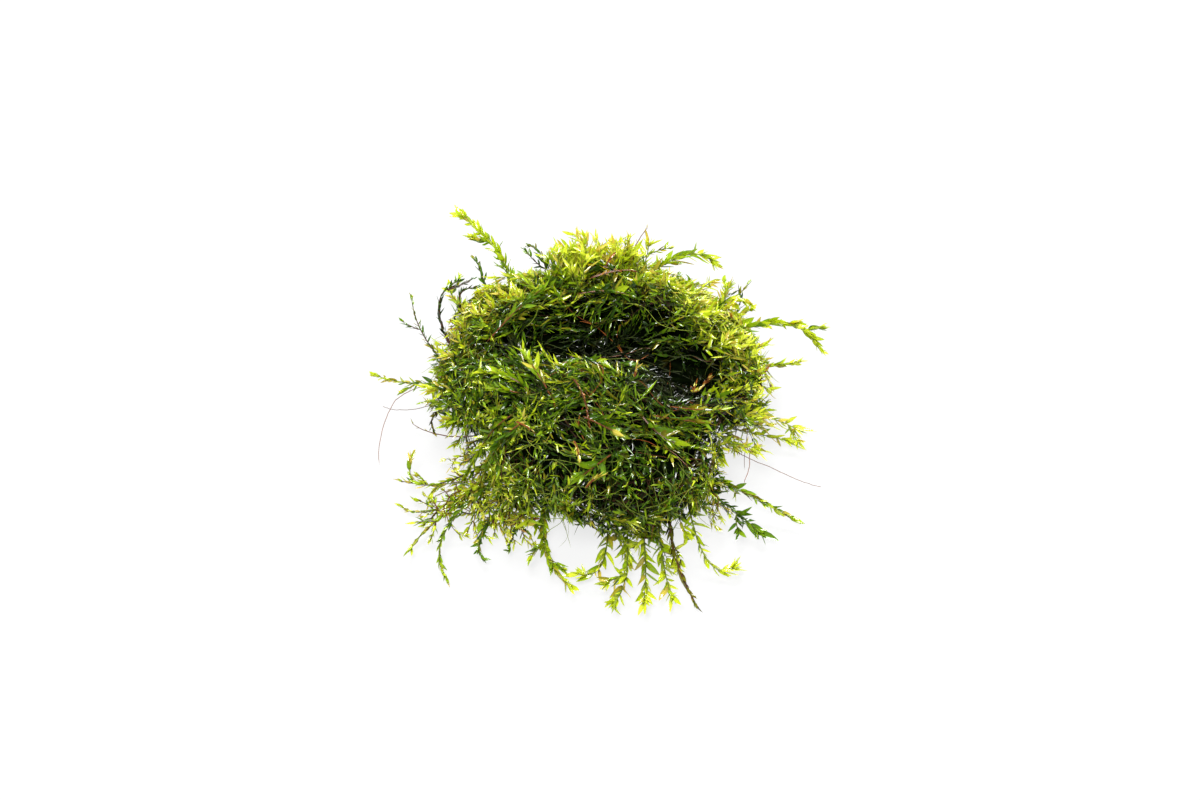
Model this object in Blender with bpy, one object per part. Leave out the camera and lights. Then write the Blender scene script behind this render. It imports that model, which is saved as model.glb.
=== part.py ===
# A clump of feather moss: one tangled mat, and the shoots, old stems and threads that stand out of it.
# Origin at the middle of the mat's flat underside. +Z up, -Y the side that faces the viewer. Metres.

import math
import random

import bmesh
import bpy
from mathutils import Vector, noise
from mathutils.bvhtree import BVHTree

MM = 0.001
GAP = 0.3 * MM
SEED = 7

# The mat: a mound that bulges over its foot, with ridges, a cleft between them and hollows, in millimetres.
MAT_CELLS = 36
# Its reach every 30 degrees, anticlockwise from +X.
MAT_RADII = (28.0, 29.5, 27.5, 27.0, 26.5, 29.0, 28.0, 25.0, 28.5, 30.5, 30.5, 25.5)
MAT_WAIST = 8.5
MAT_CROWN = 17.0
FOOT_ANGLE = math.radians(128)
PLAN_ROUNDNESS = 0.85
CROWN_FLATNESS = 0.6
RIDGES = (
    # height, half width, then the points that its crest runs over
    (8.0, 6.5, ((-17, 11), (-2, 14), (12, 12.5))),
    (3.5, 5.5, ((-18, -4), (6, -5.5))),
    (1.5, 5.0, ((8, -9), (19, -11))),
)
CLEFT = (-9.0, 2.9, ((-10, 4.5), (10, 4.0), (22, -1)))
HOLLOWS = (
    (-5.5, 3.8, ((13, -1.5), (18, -3.5))),
    (-3.0, 3.0, ((12, -17), (15, -16))),
    (-2.5, 2.6, ((-13, 2), (-17, 3))),
    (-2.5, 2.4, ((-7, -17), (-4, -19))),
)

# The ropes of stems that the mat's surface is made of.
STRAND_HEIGHT = 1.3
STRAND_PITCH = 4.2
STRAND_LENGTH = 3.0
STRAND_FREE_HEIGHT = 4.0

# Tufts: shoot tips that the mat's surface ends in.
TUFT_SHARE = 0.5
TUFT_LOWEST = 4.0
TUFT_STEP = 0.9
TUFT_TIP = 1.5
TUFT_NARROWING = 0.6
TUFT_LEAN = 1.1
TUFT_SIZES = (0.6, 1.25)
CLEFT_MARGIN = 1.3

# Leafy shoots: each is a square stem whose side faces are drawn out to pointed leaves.
STEM_RADIUS = 0.34 * MM
STEM_TIP_RADIUS = 0.16 * MM
LEAF_PITCH = 1.35 * MM
LEAF_FORWARD = 1.15
LEAF_TILT = 0.35
LEAF_SPREAD = 0.15
SHORTEST_LEAF = 0.6 * MM
LEAF_CLEARANCE = 2 * GAP
LOWEST_TIP = 0.25 * MM
END_POINT = 0.7 * MM

# Each leafy shoot: its root inside the mat, its bend and its tip, in millimetres, then the length of its leaves.
LEAFY_SHOOTS = {
    "shoot_back_left_long": ((-15, 14.5, 17.5), (-18, 21, 22.5), (-23.5, 27, 24), 2.1),
    "shoot_back_left_side": ((-18, 11, 13), (-21, 18, 19), (-22.5, 21.5, 20), 1.6),
    "shoot_back_left_thin": ((-9, 12, 20), (-10, 18, 24), (-13, 20, 25), 1.7),
    "shoot_back_left_curved": ((-22, 9, 12), (-26, 16, 16), (-21, 19, 18), 1.6),
    "shoot_left_arched": ((-25, 6, 10), (-30, 16, 14), (-25, 20, 16), 1.5),
    "shoot_left_upright": ((-26, 4, 9), (-32, 11, 11), (-34, 19, 13), 1.4),
    "shoot_left_level": ((-25, 3, 8), (-34, 2, 8), (-41, 6, 6), 1.6),
    "shoot_left_drooping": ((-22, -2, 8), (-29.5, -2, 5.5), (-29.5, -4, 1.8), 1.4),
    "shoot_left_low_curled": ((-18, -13, 5), (-32, -19, 3), (-33, -11, 4), 1.8),
    "shoot_left_low_spread": ((-17, -14, 4), (-28, -23, 2), (-35, -21, 2), 1.7),
    "shoot_left_low_outer": ((-16, -14, 6), (-29, -26, 3), (-33, -31, 1.6), 1.9),
    "shoot_front_left_long": ((-14, -16, 7), (-28, -27, 3), (-26, -38, 1.5), 1.8),
    "shoot_front_left_short": ((-12, -18, 4), (-21, -27, 2), (-20, -33, 1.6), 1.9),
    "shoot_front_left_stub": ((-11, -18, 3), (-15, -27, 2), (-16, -31, 1.6), 1.6),
    "shoot_front_left_leafy": ((-9, -18, 4), (-10, -31, 2), (-5, -39, 1.6), 2.4),
    "shoot_front_crossing": ((1, -20, 4), (1.2, -35, 2), (-3.8, -36, 1.8), 2.3),
    "shoot_front_first": ((4, -20, 5), (5, -36, 2), (2, -43, 1.8), 2.8),
    "shoot_front_second": ((7, -20, 5), (8, -35, 2.2), (7.5, -43, 1.8), 2.7),
    "shoot_front_third": ((9.5, -20, 5.5), (10.8, -34, 2), (12.5, -42, 1.8), 2.4),
    "shoot_front_right_fork": ((15, -19, 4.5), (18, -35, 2), (24, -34.5, 1.8), 2.4),
    "shoot_right_low_cluster": ((17, -17, 3.5), (24.5, -24, 2.5), (28.5, -30, 1.8), 2.5),
    "shoot_right_low_long": ((18, -15.5, 4), (26, -20.5, 4), (34, -24.5, 2), 2.2),
    "shoot_right_level": ((23, -3, 7), (30.5, -2.5, 4.2), (36, -3.8, 2), 2.2),
    "shoot_right_under": ((22, -4.8, 4.2), (28.5, -5.4, 2.8), (34, -6.4, 1.8), 1.7),
    "shoot_right_star": ((22, 1.5, 8), (27, 3, 8), (30.5, 1.5, 6.5), 2.0),
    "shoot_right_middle": ((24, 5, 10), (31, 5.5, 9), (36, 6.5, 9.5), 2.2),
    "shoot_right_long": ((21, 10, 12), (34, 13.5, 13), (40, 10, 8), 2.3),
    "shoot_back_right_upper": ((18, 12, 14), (23, 15.5, 16), (26.5, 16, 14.5), 2.2),
    "shoot_back_right_lower": ((21, 12, 9), (25, 15.5, 11), (27.5, 17.5, 11), 2.0),
    "shoot_back_right_star": ((14, 13, 16), (18, 16, 18), (20.5, 18, 17.5), 2.5),
    "shoot_back_right_arch": ((6, 14, 21), (15.5, 21, 22.5), (21, 22.5, 17.5), 2.4),
    "shoot_back_right_short": ((3, 15, 21), (8, 20, 22.5), (13, 22, 22.5), 1.6),
    "shoot_back_crest_left": ((-6, 15, 21), (-7, 18.5, 22.5), (-8, 22, 22.5), 2.2),
    "shoot_back_crest_middle": ((-2, 15, 21), (-3, 20.5, 23.5), (-4.5, 24, 23.5), 2.2),
    "shoot_back_crest_right": ((1, 15, 20), (3, 20.5, 22), (3.5, 24.5, 21.5), 2.2),
    "shoot_behind_left_low": ((-18, 16, 6), (-26, 26, 3), (-28, 33, 1.8), 2.0),
    "shoot_behind_left": ((-10, 18, 6), (-14, 28, 3), (-13, 36, 1.8), 2.3),
    "shoot_behind_middle": ((-1, 19, 6), (-3, 30, 3), (1, 36, 1.8), 2.2),
    "shoot_behind_right": ((9, 19, 6), (11, 30, 3), (10, 37, 1.8), 2.3),
    "shoot_behind_right_low": ((17, 17, 5), (23, 27, 3), (23, 34, 1.8), 2.0),
}

# Old stems that have lost their leaves: root, bend and tip in millimetres, then their radius at the root.
OLD_STEMS = {
    "old_stem_front": ((12, -20, 7), (12.8, -32, 4.2), (16.6, -43.2, 1.5), 0.7),
    "old_stem_left": ((-19, -8, 6), (-28, -8, 5), (-33.5, -3, 3.5), 0.35),
    "old_stem_back": ((2, 12, 22), (5.5, 18.5, 25), (8.5, 22, 28), 0.35),
}
STEM_SIDES = 5
OLD_STEM_PITCH = 2.4 * MM
OLD_STEM_TAPER = 0.7
STEM_KNOT = 0.12

# Fine bare threads: root, bend and tip in millimetres, then their radius.
THREADS = {
    "thread_left_long": ((-26, 3, 6), (-37, 3, 5), (-39, -11, 1), 0.16),
    "thread_left_short": ((-25, 0, 7), (-33, -1, 4), (-39, 1, 3), 0.16),
    "thread_right": ((23, -8, 6), (27, -11, 5), (25.5, -17, 2.5), 0.16),
    "thread_right_low": ((22, -10, 5), (32, -14, 2), (39, -16, 1), 0.16),
}
THREAD_PITCH = 1.5 * MM

# A path is read at this many places, and its bend pulls this much of the way to running through the middle point.
PATH_SAMPLES = 60
BEND_PULL = 0.6

FINISHES = {
    # colour, roughness
    "mat": ((0.045, 0.085, 0.012), 0.6),
    "leafy": ((0.16, 0.30, 0.018), 0.45),
    "old": ((0.075, 0.045, 0.015), 0.7),
    "thread": ((0.16, 0.07, 0.05), 0.5),
}


def finish(name):
    """A plain Principled finish, made once."""
    made = bpy.data.materials.get(name)
    if made:
        return made
    colour, roughness = FINISHES[name]
    made = bpy.data.materials.new(name)
    made.use_nodes = True
    shader = made.node_tree.nodes["Principled BSDF"]
    shader.inputs["Base Color"].default_value = (*colour, 1.0)
    shader.inputs["Roughness"].default_value = roughness
    shader.inputs["Metallic"].default_value = 0.0
    return made


def add_object(name, shape, material):
    """The shape as an object of its own, with its faces pointing out."""
    bmesh.ops.recalc_face_normals(shape, faces=shape.faces)
    mesh = bpy.data.meshes.new(name)
    shape.to_mesh(mesh)
    mesh.materials.append(material)
    made = bpy.data.objects.new(name, mesh)
    bpy.context.scene.collection.objects.link(made)


def distance_to_line(x, y, points):
    """Plan distance from a place to a line through points."""
    place = Vector((x, y))
    best = math.inf
    for start, end in zip(points, points[1:]):
        start = Vector(start)
        run = Vector(end) - start
        share = max(0.0, min(1.0, (place - start).dot(run) / run.length_squared))
        best = min(best, (place - start - run * share).length)
    return best


def mat_radius(angle):
    """The mat's reach in millimetres in a compass direction, smooth between MAT_RADII."""
    step = (angle % math.tau) / math.tau * len(MAT_RADII)
    first = int(step) % len(MAT_RADII)
    blend = 0.5 - 0.5 * math.cos((step - int(step)) * math.pi)
    return MAT_RADII[first] * (1 - blend) + MAT_RADII[(first + 1) % len(MAT_RADII)] * blend


def mound_place(u, v):
    """Where a point of the flat sheet, from -1 to 1 each way, goes on the mound, in millimetres."""
    x = u * math.sqrt(1 - v * v / 2)
    y = v * math.sqrt(1 - u * u / 2)
    slope = math.hypot(x, y) * FOOT_ANGLE
    angle = math.atan2(y, x)
    reach = mat_radius(angle) * math.sin(slope) ** PLAN_ROUNDNESS
    plan = (reach * math.cos(angle), reach * math.sin(angle))
    if slope > math.pi / 2:
        return Vector((*plan, MAT_WAIST * (1 - math.cos(slope) / math.cos(FOOT_ANGLE))))
    rise = math.cos(slope)
    height = MAT_WAIST + (MAT_CROWN - MAT_WAIST) * rise**CROWN_FLATNESS
    near_edge = min(1.0, 3 * rise)
    for lift, width, line in (*RIDGES, CLEFT, *HOLLOWS):
        away = distance_to_line(*plan, line) / width
        height += lift * math.exp(-(away**2)) * near_edge
    return Vector((*plan, height))


def strand_height(place):
    """The ropes of stems that lie across the mat: long from side to side and narrow from front to back."""
    along = place / STRAND_PITCH
    along.x /= STRAND_LENGTH
    return STRAND_HEIGHT * (noise.noise(along) + 0.6 * noise.noise(along * 2.3))


def draw_tuft(shape, face, rng):
    """Draws a face of the mat out to one pointed shoot tip that leans as the stems lie."""
    lean = Vector((rng.uniform(-1, 1), rng.uniform(-0.5, 0.5), rng.uniform(-0.1, 0.4)))
    outward = (face.normal + lean * TUFT_LEAN).normalized()
    length = rng.uniform(*TUFT_SIZES) * MM

    foot = bmesh.ops.extrude_discrete_faces(shape, faces=[face])["faces"][0]
    centre = foot.calc_center_median() + outward * TUFT_STEP * length
    for corner in foot.verts:
        corner.co = centre + (corner.co + outward * TUFT_STEP * length - centre) * TUFT_NARROWING

    tip = bmesh.ops.extrude_discrete_faces(shape, faces=[foot])["faces"][0]
    outward = (outward + Vector((0, 0, rng.uniform(-0.35, 0.15)))).normalized()
    bmesh.ops.pointmerge(shape, verts=tip.verts[:], merge_co=centre + outward * TUFT_TIP * length)


def tuft_faces(shape, rng):
    """Faces of the mat to draw out, none sharing a side with another, and none in the cleft."""
    upper = [f for f in shape.faces if f.calc_center_median().z > TUFT_LOWEST * MM]
    taken = set()
    chosen = []
    for face in rng.sample(upper, int(TUFT_SHARE * len(upper))):
        centre = face.calc_center_median() / MM
        in_cleft = distance_to_line(centre.x, centre.y, CLEFT[2]) < CLEFT_MARGIN * CLEFT[1]
        beside = {other.index for edge in face.edges for other in edge.link_faces}
        if in_cleft or taken & beside:
            continue
        taken.add(face.index)
        chosen.append(face)
    return chosen


def make_mat():
    """The tangled mat: a flat sheet bent to a mound, closed by one flat face underneath."""
    shape = bmesh.new()
    bmesh.ops.create_grid(shape, x_segments=MAT_CELLS, y_segments=MAT_CELLS, size=1.0)
    for corner in shape.verts:
        corner.co = mound_place(corner.co.x, corner.co.y) * MM
    shape.normal_update()
    for corner in shape.verts:
        if not corner.is_boundary:
            free = min(1.0, corner.co.z / (STRAND_FREE_HEIGHT * MM))
            corner.co += corner.normal * strand_height(corner.co / MM) * free * MM
    shape.normal_update()
    rng = random.Random(SEED)
    for face in tuft_faces(shape, rng):
        draw_tuft(shape, face, rng)
    bmesh.ops.holes_fill(shape, edges=[e for e in shape.edges if e.is_boundary], sides=0)
    bmesh.ops.recalc_face_normals(shape, faces=shape.faces)
    return shape


def smooth_path(root, bend, tip, pitch):
    """Points a pitch apart on the curve that starts at root, passes near bend and ends at tip."""
    root, bend, tip = (Vector(p) * MM for p in (root, bend, tip))
    pull = bend.lerp(bend * 2 - (root + tip) / 2, BEND_PULL)
    fine = []
    for i in range(PATH_SAMPLES + 1):
        t = i / PATH_SAMPLES
        fine.append(root * (1 - t) ** 2 + pull * 2 * t * (1 - t) + tip * t * t)
    points = [fine[0]]
    walked = 0.0
    for before, after in zip(fine, fine[1:]):
        walked += (after - before).length
        if walked >= pitch:
            points.append(after)
            walked = 0.0
    if (points[-1] - fine[-1]).length < pitch / 2:
        points.pop()
    return points + [fine[-1]]


def is_inside(solid, point):
    """Whether a point is in a closed shape: a ray from it then meets the surface an odd number of times."""
    ahead = Vector((0.31, -0.47, 0.83)).normalized()
    inside = False
    hit = solid.ray_cast(point, ahead)[0]
    while hit:
        inside = not inside
        hit = solid.ray_cast(hit + ahead * MM / 1000, ahead)[0]
    return inside


def outside_part(points, mat, clearance):
    """The points past the last one that is inside the mat or nearer to it than clearance."""
    start = 0
    for i, point in enumerate(points):
        if is_inside(mat, point) or mat.find_nearest(point)[3] < clearance:
            start = i + 1
    return points[start:]


def frame_at(points, i):
    """Forward, sideways and upward directions of a path at one of its points."""
    forward = (points[min(i + 1, len(points) - 1)] - points[max(i - 1, 0)]).normalized()
    side = forward.cross(Vector((0, 0, 1)))
    side = side.normalized() if side.length > 0.1 else Vector((1, 0, 0))
    return forward, side, side.cross(forward).normalized()


def add_ring(shape, centre, spokes):
    """New corners round a centre, one at the end of each spoke."""
    return [shape.verts.new(centre + spoke) for spoke in spokes]


def bridge(shape, first, second):
    """The side faces between two rings of as many corners."""
    after = first[1:] + first[:1]
    above = second[1:] + second[:1]
    return [shape.faces.new(corners) for corners in zip(first, after, above, second)]


def close_to_point(shape, corners, point):
    """Closes a ring with a cone to a point."""
    top = shape.verts.new(point)
    for i, corner in enumerate(corners):
        shape.faces.new((corner, corners[(i + 1) % len(corners)], top))


def draw_leaf(shape, face, aim, length, solids):
    """Draws one side face of the stem out to a pointed leaf, shorter where another piece is in its way."""
    centre = face.calc_center_median()
    if (centre + aim * length).z < LOWEST_TIP:
        aim.z = (LOWEST_TIP - centre.z) / length
        aim.normalize()
    for solid in solids:
        distance = solid.ray_cast(centre + aim * 0.1 * MM, aim, length + LEAF_CLEARANCE)[3]
        if distance is not None:
            length = min(length, distance - LEAF_CLEARANCE)
        if solid.find_nearest(centre + aim * length)[3] < LEAF_CLEARANCE:
            length *= 0.6
    if length >= SHORTEST_LEAF:
        tip = bmesh.ops.extrude_discrete_faces(shape, faces=[face])["faces"][0]
        bmesh.ops.pointmerge(shape, verts=tip.verts[:], merge_co=centre + aim * length)


def make_leafy_shoot(root, bend, tip, leaf_length, mat, solids, rng):
    """A stem with a leaf on its left and its right at each pitch, and a pointed end."""
    points = outside_part(smooth_path(root, bend, tip, LEAF_PITCH), mat, STEM_RADIUS + GAP)
    shape = bmesh.new()
    rings = []
    for i, point in enumerate(points[:-1]):
        _, side, upward = frame_at(points, i)
        radius = STEM_RADIUS + (STEM_TIP_RADIUS - STEM_RADIUS) * i / len(points)
        spokes = [(side + upward), (upward - side), (-side - upward), (side - upward)]
        rings.append(add_ring(shape, point, [spoke * radius for spoke in spokes]))
    shape.faces.new(rings[0])
    joints = [bridge(shape, first, second) for first, second in zip(rings, rings[1:])]
    forward, _, _ = frame_at(points, len(points) - 2)
    close_to_point(shape, rings[-1], points[-1] + forward * END_POINT)
    bmesh.ops.recalc_face_normals(shape, faces=shape.faces)
    for i, faces in enumerate(joints):
        forward, side, upward = frame_at(points, i)
        size = min(1.0, 0.45 + 0.2 * i, 0.55 + 0.18 * (len(joints) - i))
        for face, hand in ((faces[1], -1), (faces[3], 1)):
            raised = (i + (hand > 0)) % 2 == 1
            tilt = LEAF_TILT * (1 if raised else -0.6) + rng.uniform(-0.2, 0.2)
            outward = (side * hand + upward * tilt).normalized()
            aim = (outward + forward * LEAF_FORWARD).normalized()
            length = leaf_length * MM * size * rng.uniform(1 - LEAF_SPREAD, 1 + LEAF_SPREAD)
            draw_leaf(shape, face, aim, length, solids)
    return shape


def make_old_stem(root, bend, tip, radius, mat, rng):
    """A bare stem with a swelling where each leaf once was, tapering to a point."""
    points = outside_part(smooth_path(root, bend, tip, OLD_STEM_PITCH), mat, radius * MM + GAP)
    turns = [math.tau * k / STEM_SIDES for k in range(STEM_SIDES)]
    shape = bmesh.new()
    rings = []
    for i, point in enumerate(points[:-1]):
        _, side, upward = frame_at(points, i)
        swell = 1 + STEM_KNOT * rng.uniform(-1, 1)
        reach = radius * MM * (1 - OLD_STEM_TAPER * i / len(points)) * swell
        rings.append(add_ring(shape, point, [(side * math.cos(t) + upward * math.sin(t)) * reach for t in turns]))
    shape.faces.new(rings[0])
    for first, second in zip(rings, rings[1:]):
        bridge(shape, first, second)
    close_to_point(shape, rings[-1], points[-1])
    return shape


def add_thread(name, root, bend, tip, radius, mat):
    """A fine thread as a curve with a round section."""
    points = outside_part(smooth_path(root, bend, tip, THREAD_PITCH), mat, radius * MM + GAP)
    line = bpy.data.curves.new(name, "CURVE")
    line.dimensions = "3D"
    line.bevel_depth = radius * MM
    line.bevel_resolution = 1
    line.use_fill_caps = True
    spline = line.splines.new("POLY")
    spline.points.add(len(points) - 1)
    for target, point in zip(spline.points, points):
        target.co = (*point, 1.0)
    line.materials.append(finish("thread"))
    made = bpy.data.objects.new(name, line)
    bpy.context.scene.collection.objects.link(made)


def main():
    for thing in list(bpy.data.objects):
        bpy.data.objects.remove(thing)
    rng = random.Random(SEED)
    mat_shape = make_mat()
    mat = BVHTree.FromBMesh(mat_shape)
    add_object("moss_mat", mat_shape, finish("mat"))
    solids = [mat]
    for name, (root, bend, tip, radius) in OLD_STEMS.items():
        shape = make_old_stem(root, bend, tip, radius, mat, rng)
        solids.append(BVHTree.FromBMesh(shape))
        add_object(name, shape, finish("old"))
    for name, (root, bend, tip, radius) in THREADS.items():
        add_thread(name, root, bend, tip, radius, mat)
    for name, (root, bend, tip, leaf_length) in LEAFY_SHOOTS.items():
        shape = make_leafy_shoot(root, bend, tip, leaf_length, mat, solids, rng)
        solids.append(BVHTree.FromBMesh(shape))
        add_object(name, shape, finish("leafy"))


main()
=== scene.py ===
import math

import bmesh
import bpy
import numpy as np
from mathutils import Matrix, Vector, noise
from mathutils.bvhtree import BVHTree


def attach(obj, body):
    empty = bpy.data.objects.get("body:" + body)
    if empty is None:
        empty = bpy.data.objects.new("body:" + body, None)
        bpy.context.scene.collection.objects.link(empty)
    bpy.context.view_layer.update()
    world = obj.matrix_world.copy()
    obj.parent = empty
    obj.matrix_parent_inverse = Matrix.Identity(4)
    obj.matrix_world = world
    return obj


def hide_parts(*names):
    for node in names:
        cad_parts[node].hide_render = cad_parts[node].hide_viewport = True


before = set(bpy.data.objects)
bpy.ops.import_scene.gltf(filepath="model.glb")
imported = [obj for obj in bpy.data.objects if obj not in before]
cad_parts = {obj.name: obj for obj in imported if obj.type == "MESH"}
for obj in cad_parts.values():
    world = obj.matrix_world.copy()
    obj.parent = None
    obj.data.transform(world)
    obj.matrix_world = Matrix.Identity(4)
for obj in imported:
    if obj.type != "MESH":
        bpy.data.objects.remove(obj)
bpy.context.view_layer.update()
mm = 0.001
print("stage: frame loaded")


# The colour sheet: each leaf or stem lies on one column, its tone, and on one of two rows, fresh or aged.
sheet = {
    "columns": 40,
    "reach": 0.32,  # how far a leaf reaches to each side of its column's middle, in columns
    "rowStart": 0.04,
    "rowLength": 0.92,
}


def node(tree, kind, links=None, **settings):
    made = tree.nodes.new("ShaderNode" + kind)
    for key, value in settings.items():
        setattr(made, key, value)
    for socket, source in (links or {}).items():
        if isinstance(source, bpy.types.NodeSocket):
            tree.links.new(source, made.inputs[socket])
        else:
            made.inputs[socket].default_value = source
    return made.outputs[0] if made.outputs else made


def sums(tree, operation, first, second=0.0):
    return node(tree, "Math", {0: first, 1: second}, operation=operation)


def remap(tree, value, span, onto):
    return node(tree, "MapRange", {0: value, 1: span[0], 2: span[1], 3: onto[0], 4: onto[1]})


def blendColours(tree, factor, first, second, kind="MIX"):
    made = tree.nodes.new("ShaderNodeMix")
    made.data_type = "RGBA"
    made.blend_type = kind
    for socket, source in ((0, factor), (6, first), (7, second)):
        if isinstance(source, bpy.types.NodeSocket):
            tree.links.new(source, made.inputs[socket])
        else:
            made.inputs[socket].default_value = source if socket == 0 else (*source, 1.0)
    return made.outputs[2]


def shaded(tree, colour, shade):
    # a colour made darker or lighter by a factor
    grey = node(tree, "CombineColor", {0: shade, 1: shade, 2: shade})
    return blendColours(tree, 1.0, colour, grey, "MULTIPLY")


def stretchedNoise(tree, place, stretch, detail, dimensions):
    stretched = node(tree, "Mapping", {0: place, 3: stretch})
    sockets = {"Vector": stretched, "Scale": 1.0, "Detail": detail}
    return node(tree, "TexNoise", sockets, noise_dimensions=dimensions)


def colourRamp(tree, factor, stops):
    made = tree.nodes.new("ShaderNodeValToRGB")
    tree.links.new(factor, made.inputs[0])
    stopsMade = made.color_ramp.elements
    while len(stopsMade) < len(stops):
        stopsMade.new(1.0)
    for stop, (place, colour) in zip(stopsMade, stops):
        stop.position = place
        stop.color = (*colour, 1.0)
    return made.outputs[0]


def startMaterial(name):
    made = bpy.data.materials.new(name)
    made.use_nodes = True
    made.node_tree.nodes.clear()
    return made, made.node_tree


def readSheet(tree):
    # tone, distance from the middle line, aged or not, and place along, all from the colour sheet
    uv = node(tree, "UVMap", uv_map="OFBake")
    split = tree.nodes.new("ShaderNodeSeparateXYZ")
    tree.links.new(uv, split.inputs[0])
    columns = sums(tree, "MULTIPLY", split.outputs[0], sheet["columns"])
    tone = sums(tree, "DIVIDE", sums(tree, "FLOOR", columns), sheet["columns"])
    offMiddle = sums(tree, "ABSOLUTE", sums(tree, "SUBTRACT", sums(tree, "FRACT", columns), 0.5))
    across = sums(tree, "DIVIDE", offMiddle, sheet["reach"])
    rows = sums(tree, "MULTIPLY", split.outputs[1], 2.0)
    aged = sums(tree, "GREATER_THAN", rows, 1.0)
    inRow = sums(tree, "SUBTRACT", sums(tree, "FRACT", rows), sheet["rowStart"])
    along = sums(tree, "DIVIDE", inRow, sheet["rowLength"])
    return uv, tone, across, aged, along


leafColours = {
    "fresh": (
        (0.00, (0.002, 0.004, 0.001)),
        (0.12, (0.007, 0.020, 0.001)),
        (0.26, (0.030, 0.085, 0.003)),
        (0.40, (0.10, 0.22, 0.006)),
        (0.54, (0.25, 0.40, 0.009)),
        (0.68, (0.47, 0.58, 0.012)),
        (0.80, (0.62, 0.70, 0.04)),
        (0.90, (0.74, 0.79, 0.20)),
        (1.00, (0.80, 0.84, 0.42)),
    ),
    "aged": (
        (0.00, (0.006, 0.005, 0.001)),
        (0.14, (0.024, 0.021, 0.002)),
        (0.28, (0.085, 0.085, 0.004)),
        (0.42, (0.22, 0.21, 0.008)),
        (0.56, (0.38, 0.36, 0.02)),
        (0.70, (0.54, 0.49, 0.06)),
        (0.80, (0.66, 0.56, 0.16)),
        (0.88, (0.52, 0.19, 0.025)),
        (1.00, (0.16, 0.04, 0.008)),
    ),
    "tip": (0.62, 0.64, 0.10),
    "through": (1.35, 1.25, 0.4),  # how light that passes through a leaf is coloured
}


leafLook = {
    "foot": ((0.0, 0.3), (0.55, 1.0)),  # shade over the first part of a leaf's length
    "point": ((0.72, 1.0), (0.0, 0.35)),  # share of tip colour over the last part
    "fold": ((0.0, 0.25), (1.22, 1.0)),  # shade from the middle line outwards
    "wornFrom": 0.85,  # tone from which a leaf has no yellow point
    "cells": (520.0, 46.0, 1.0),  # long cells, across and along the sheet
    "streak": ((0.3, 0.7), (0.82, 1.16)),  # shade from cell to cell
    "seeThrough": 0.5,
}


def leafMaterial():
    made, tree = startMaterial("mossLeaf")
    uv, tone, across, aged, along = readSheet(tree)
    fresh = colourRamp(tree, tone, leafColours["fresh"])
    old = colourRamp(tree, tone, leafColours["aged"])
    colour = blendColours(tree, aged, fresh, old)

    # Darker at the foot, yellower at the point, and paler over the fold.
    foot = remap(tree, along, *leafLook["foot"])
    point = remap(tree, along, *leafLook["point"])
    live = sums(tree, "LESS_THAN", tone, leafLook["wornFrom"])
    tipped = sums(tree, "MULTIPLY", sums(tree, "MULTIPLY", point, tone), live)
    colour = blendColours(tree, tipped, colour, leafColours["tip"])
    fold = remap(tree, across, *leafLook["fold"])
    shade = sums(tree, "MULTIPLY", foot, fold)

    # Long cells run from foot to point.
    cells = stretchedNoise(tree, uv, leafLook["cells"], 2.0, "2D")
    shade = sums(tree, "MULTIPLY", shade, remap(tree, cells, *leafLook["streak"]))
    colour = shaded(tree, colour, shade)

    relief = node(tree, "Bump", {"Strength": 0.35, "Distance": 0.04 * mm, "Height": cells})
    wet = node(
        tree,
        "BsdfPrincipled",
        {
            "Base Color": colour,
            "Roughness": 0.55,
            "Specular IOR Level": 0.1,
            "Coat Weight": 1.0,
            "Coat Roughness": 0.08,
            "Coat IOR": 1.85,
            "Normal": relief,
        },
    )
    passing = blendColours(tree, 1.0, colour, leafColours["through"], "MULTIPLY")
    glow = node(tree, "BsdfTranslucent", {"Color": passing, "Normal": relief})
    skin = node(tree, "MixShader", {0: leafLook["seeThrough"], 1: wet, 2: glow})
    node(tree, "OutputMaterial", {0: skin})
    return made


stemColours = {
    "fresh": (
        (0.0, (0.010, 0.012, 0.004)),
        (0.4, (0.040, 0.060, 0.008)),
        (0.7, (0.14, 0.19, 0.018)),
        (1.0, (0.30, 0.36, 0.04)),
    ),
    "aged": (
        (0.0, (0.012, 0.006, 0.004)),
        (0.35, (0.045, 0.018, 0.006)),
        (0.6, (0.15, 0.042, 0.008)),
        (0.85, (0.40, 0.11, 0.015)),
        (1.0, (0.60, 0.30, 0.08)),
    ),
}


stemLook = {
    "scars": (300.0, 90.0, 1.0),  # across and along the sheet
    "shade": ((0.3, 0.7), (0.6, 1.35)),  # from scar to scar
}


def stemMaterial():
    made, tree = startMaterial("mossStem")
    uv, tone, across, aged, along = readSheet(tree)
    fresh = colourRamp(tree, tone, stemColours["fresh"])
    old = colourRamp(tree, tone, stemColours["aged"])
    colour = blendColours(tree, aged, fresh, old)
    scars = stretchedNoise(tree, uv, stemLook["scars"], 3.0, "2D")
    colour = shaded(tree, colour, remap(tree, scars, *stemLook["shade"]))
    relief = node(tree, "Bump", {"Strength": 0.5, "Distance": 0.05 * mm, "Height": scars})
    bark = node(
        tree,
        "BsdfPrincipled",
        {
            "Base Color": colour,
            "Roughness": 0.6,
            "Specular IOR Level": 0.15,
            "Coat Weight": 0.15,
            "Coat Roughness": 0.15,
            "Normal": relief,
        },
    )
    node(tree, "OutputMaterial", {0: bark})
    return made


heartLook = {
    "strands": (260.0, 900.0, 900.0),  # to a metre, along X, Y and Z
    # near-black tones: painted shade
    "colours": (
        (0.30, (0.0006, 0.0010, 0.0004)),
        (0.50, (0.0015, 0.0028, 0.0008)),
        (0.68, (0.004, 0.007, 0.0015)),
        (0.85, (0.008, 0.007, 0.002)),
    ),
}


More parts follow.
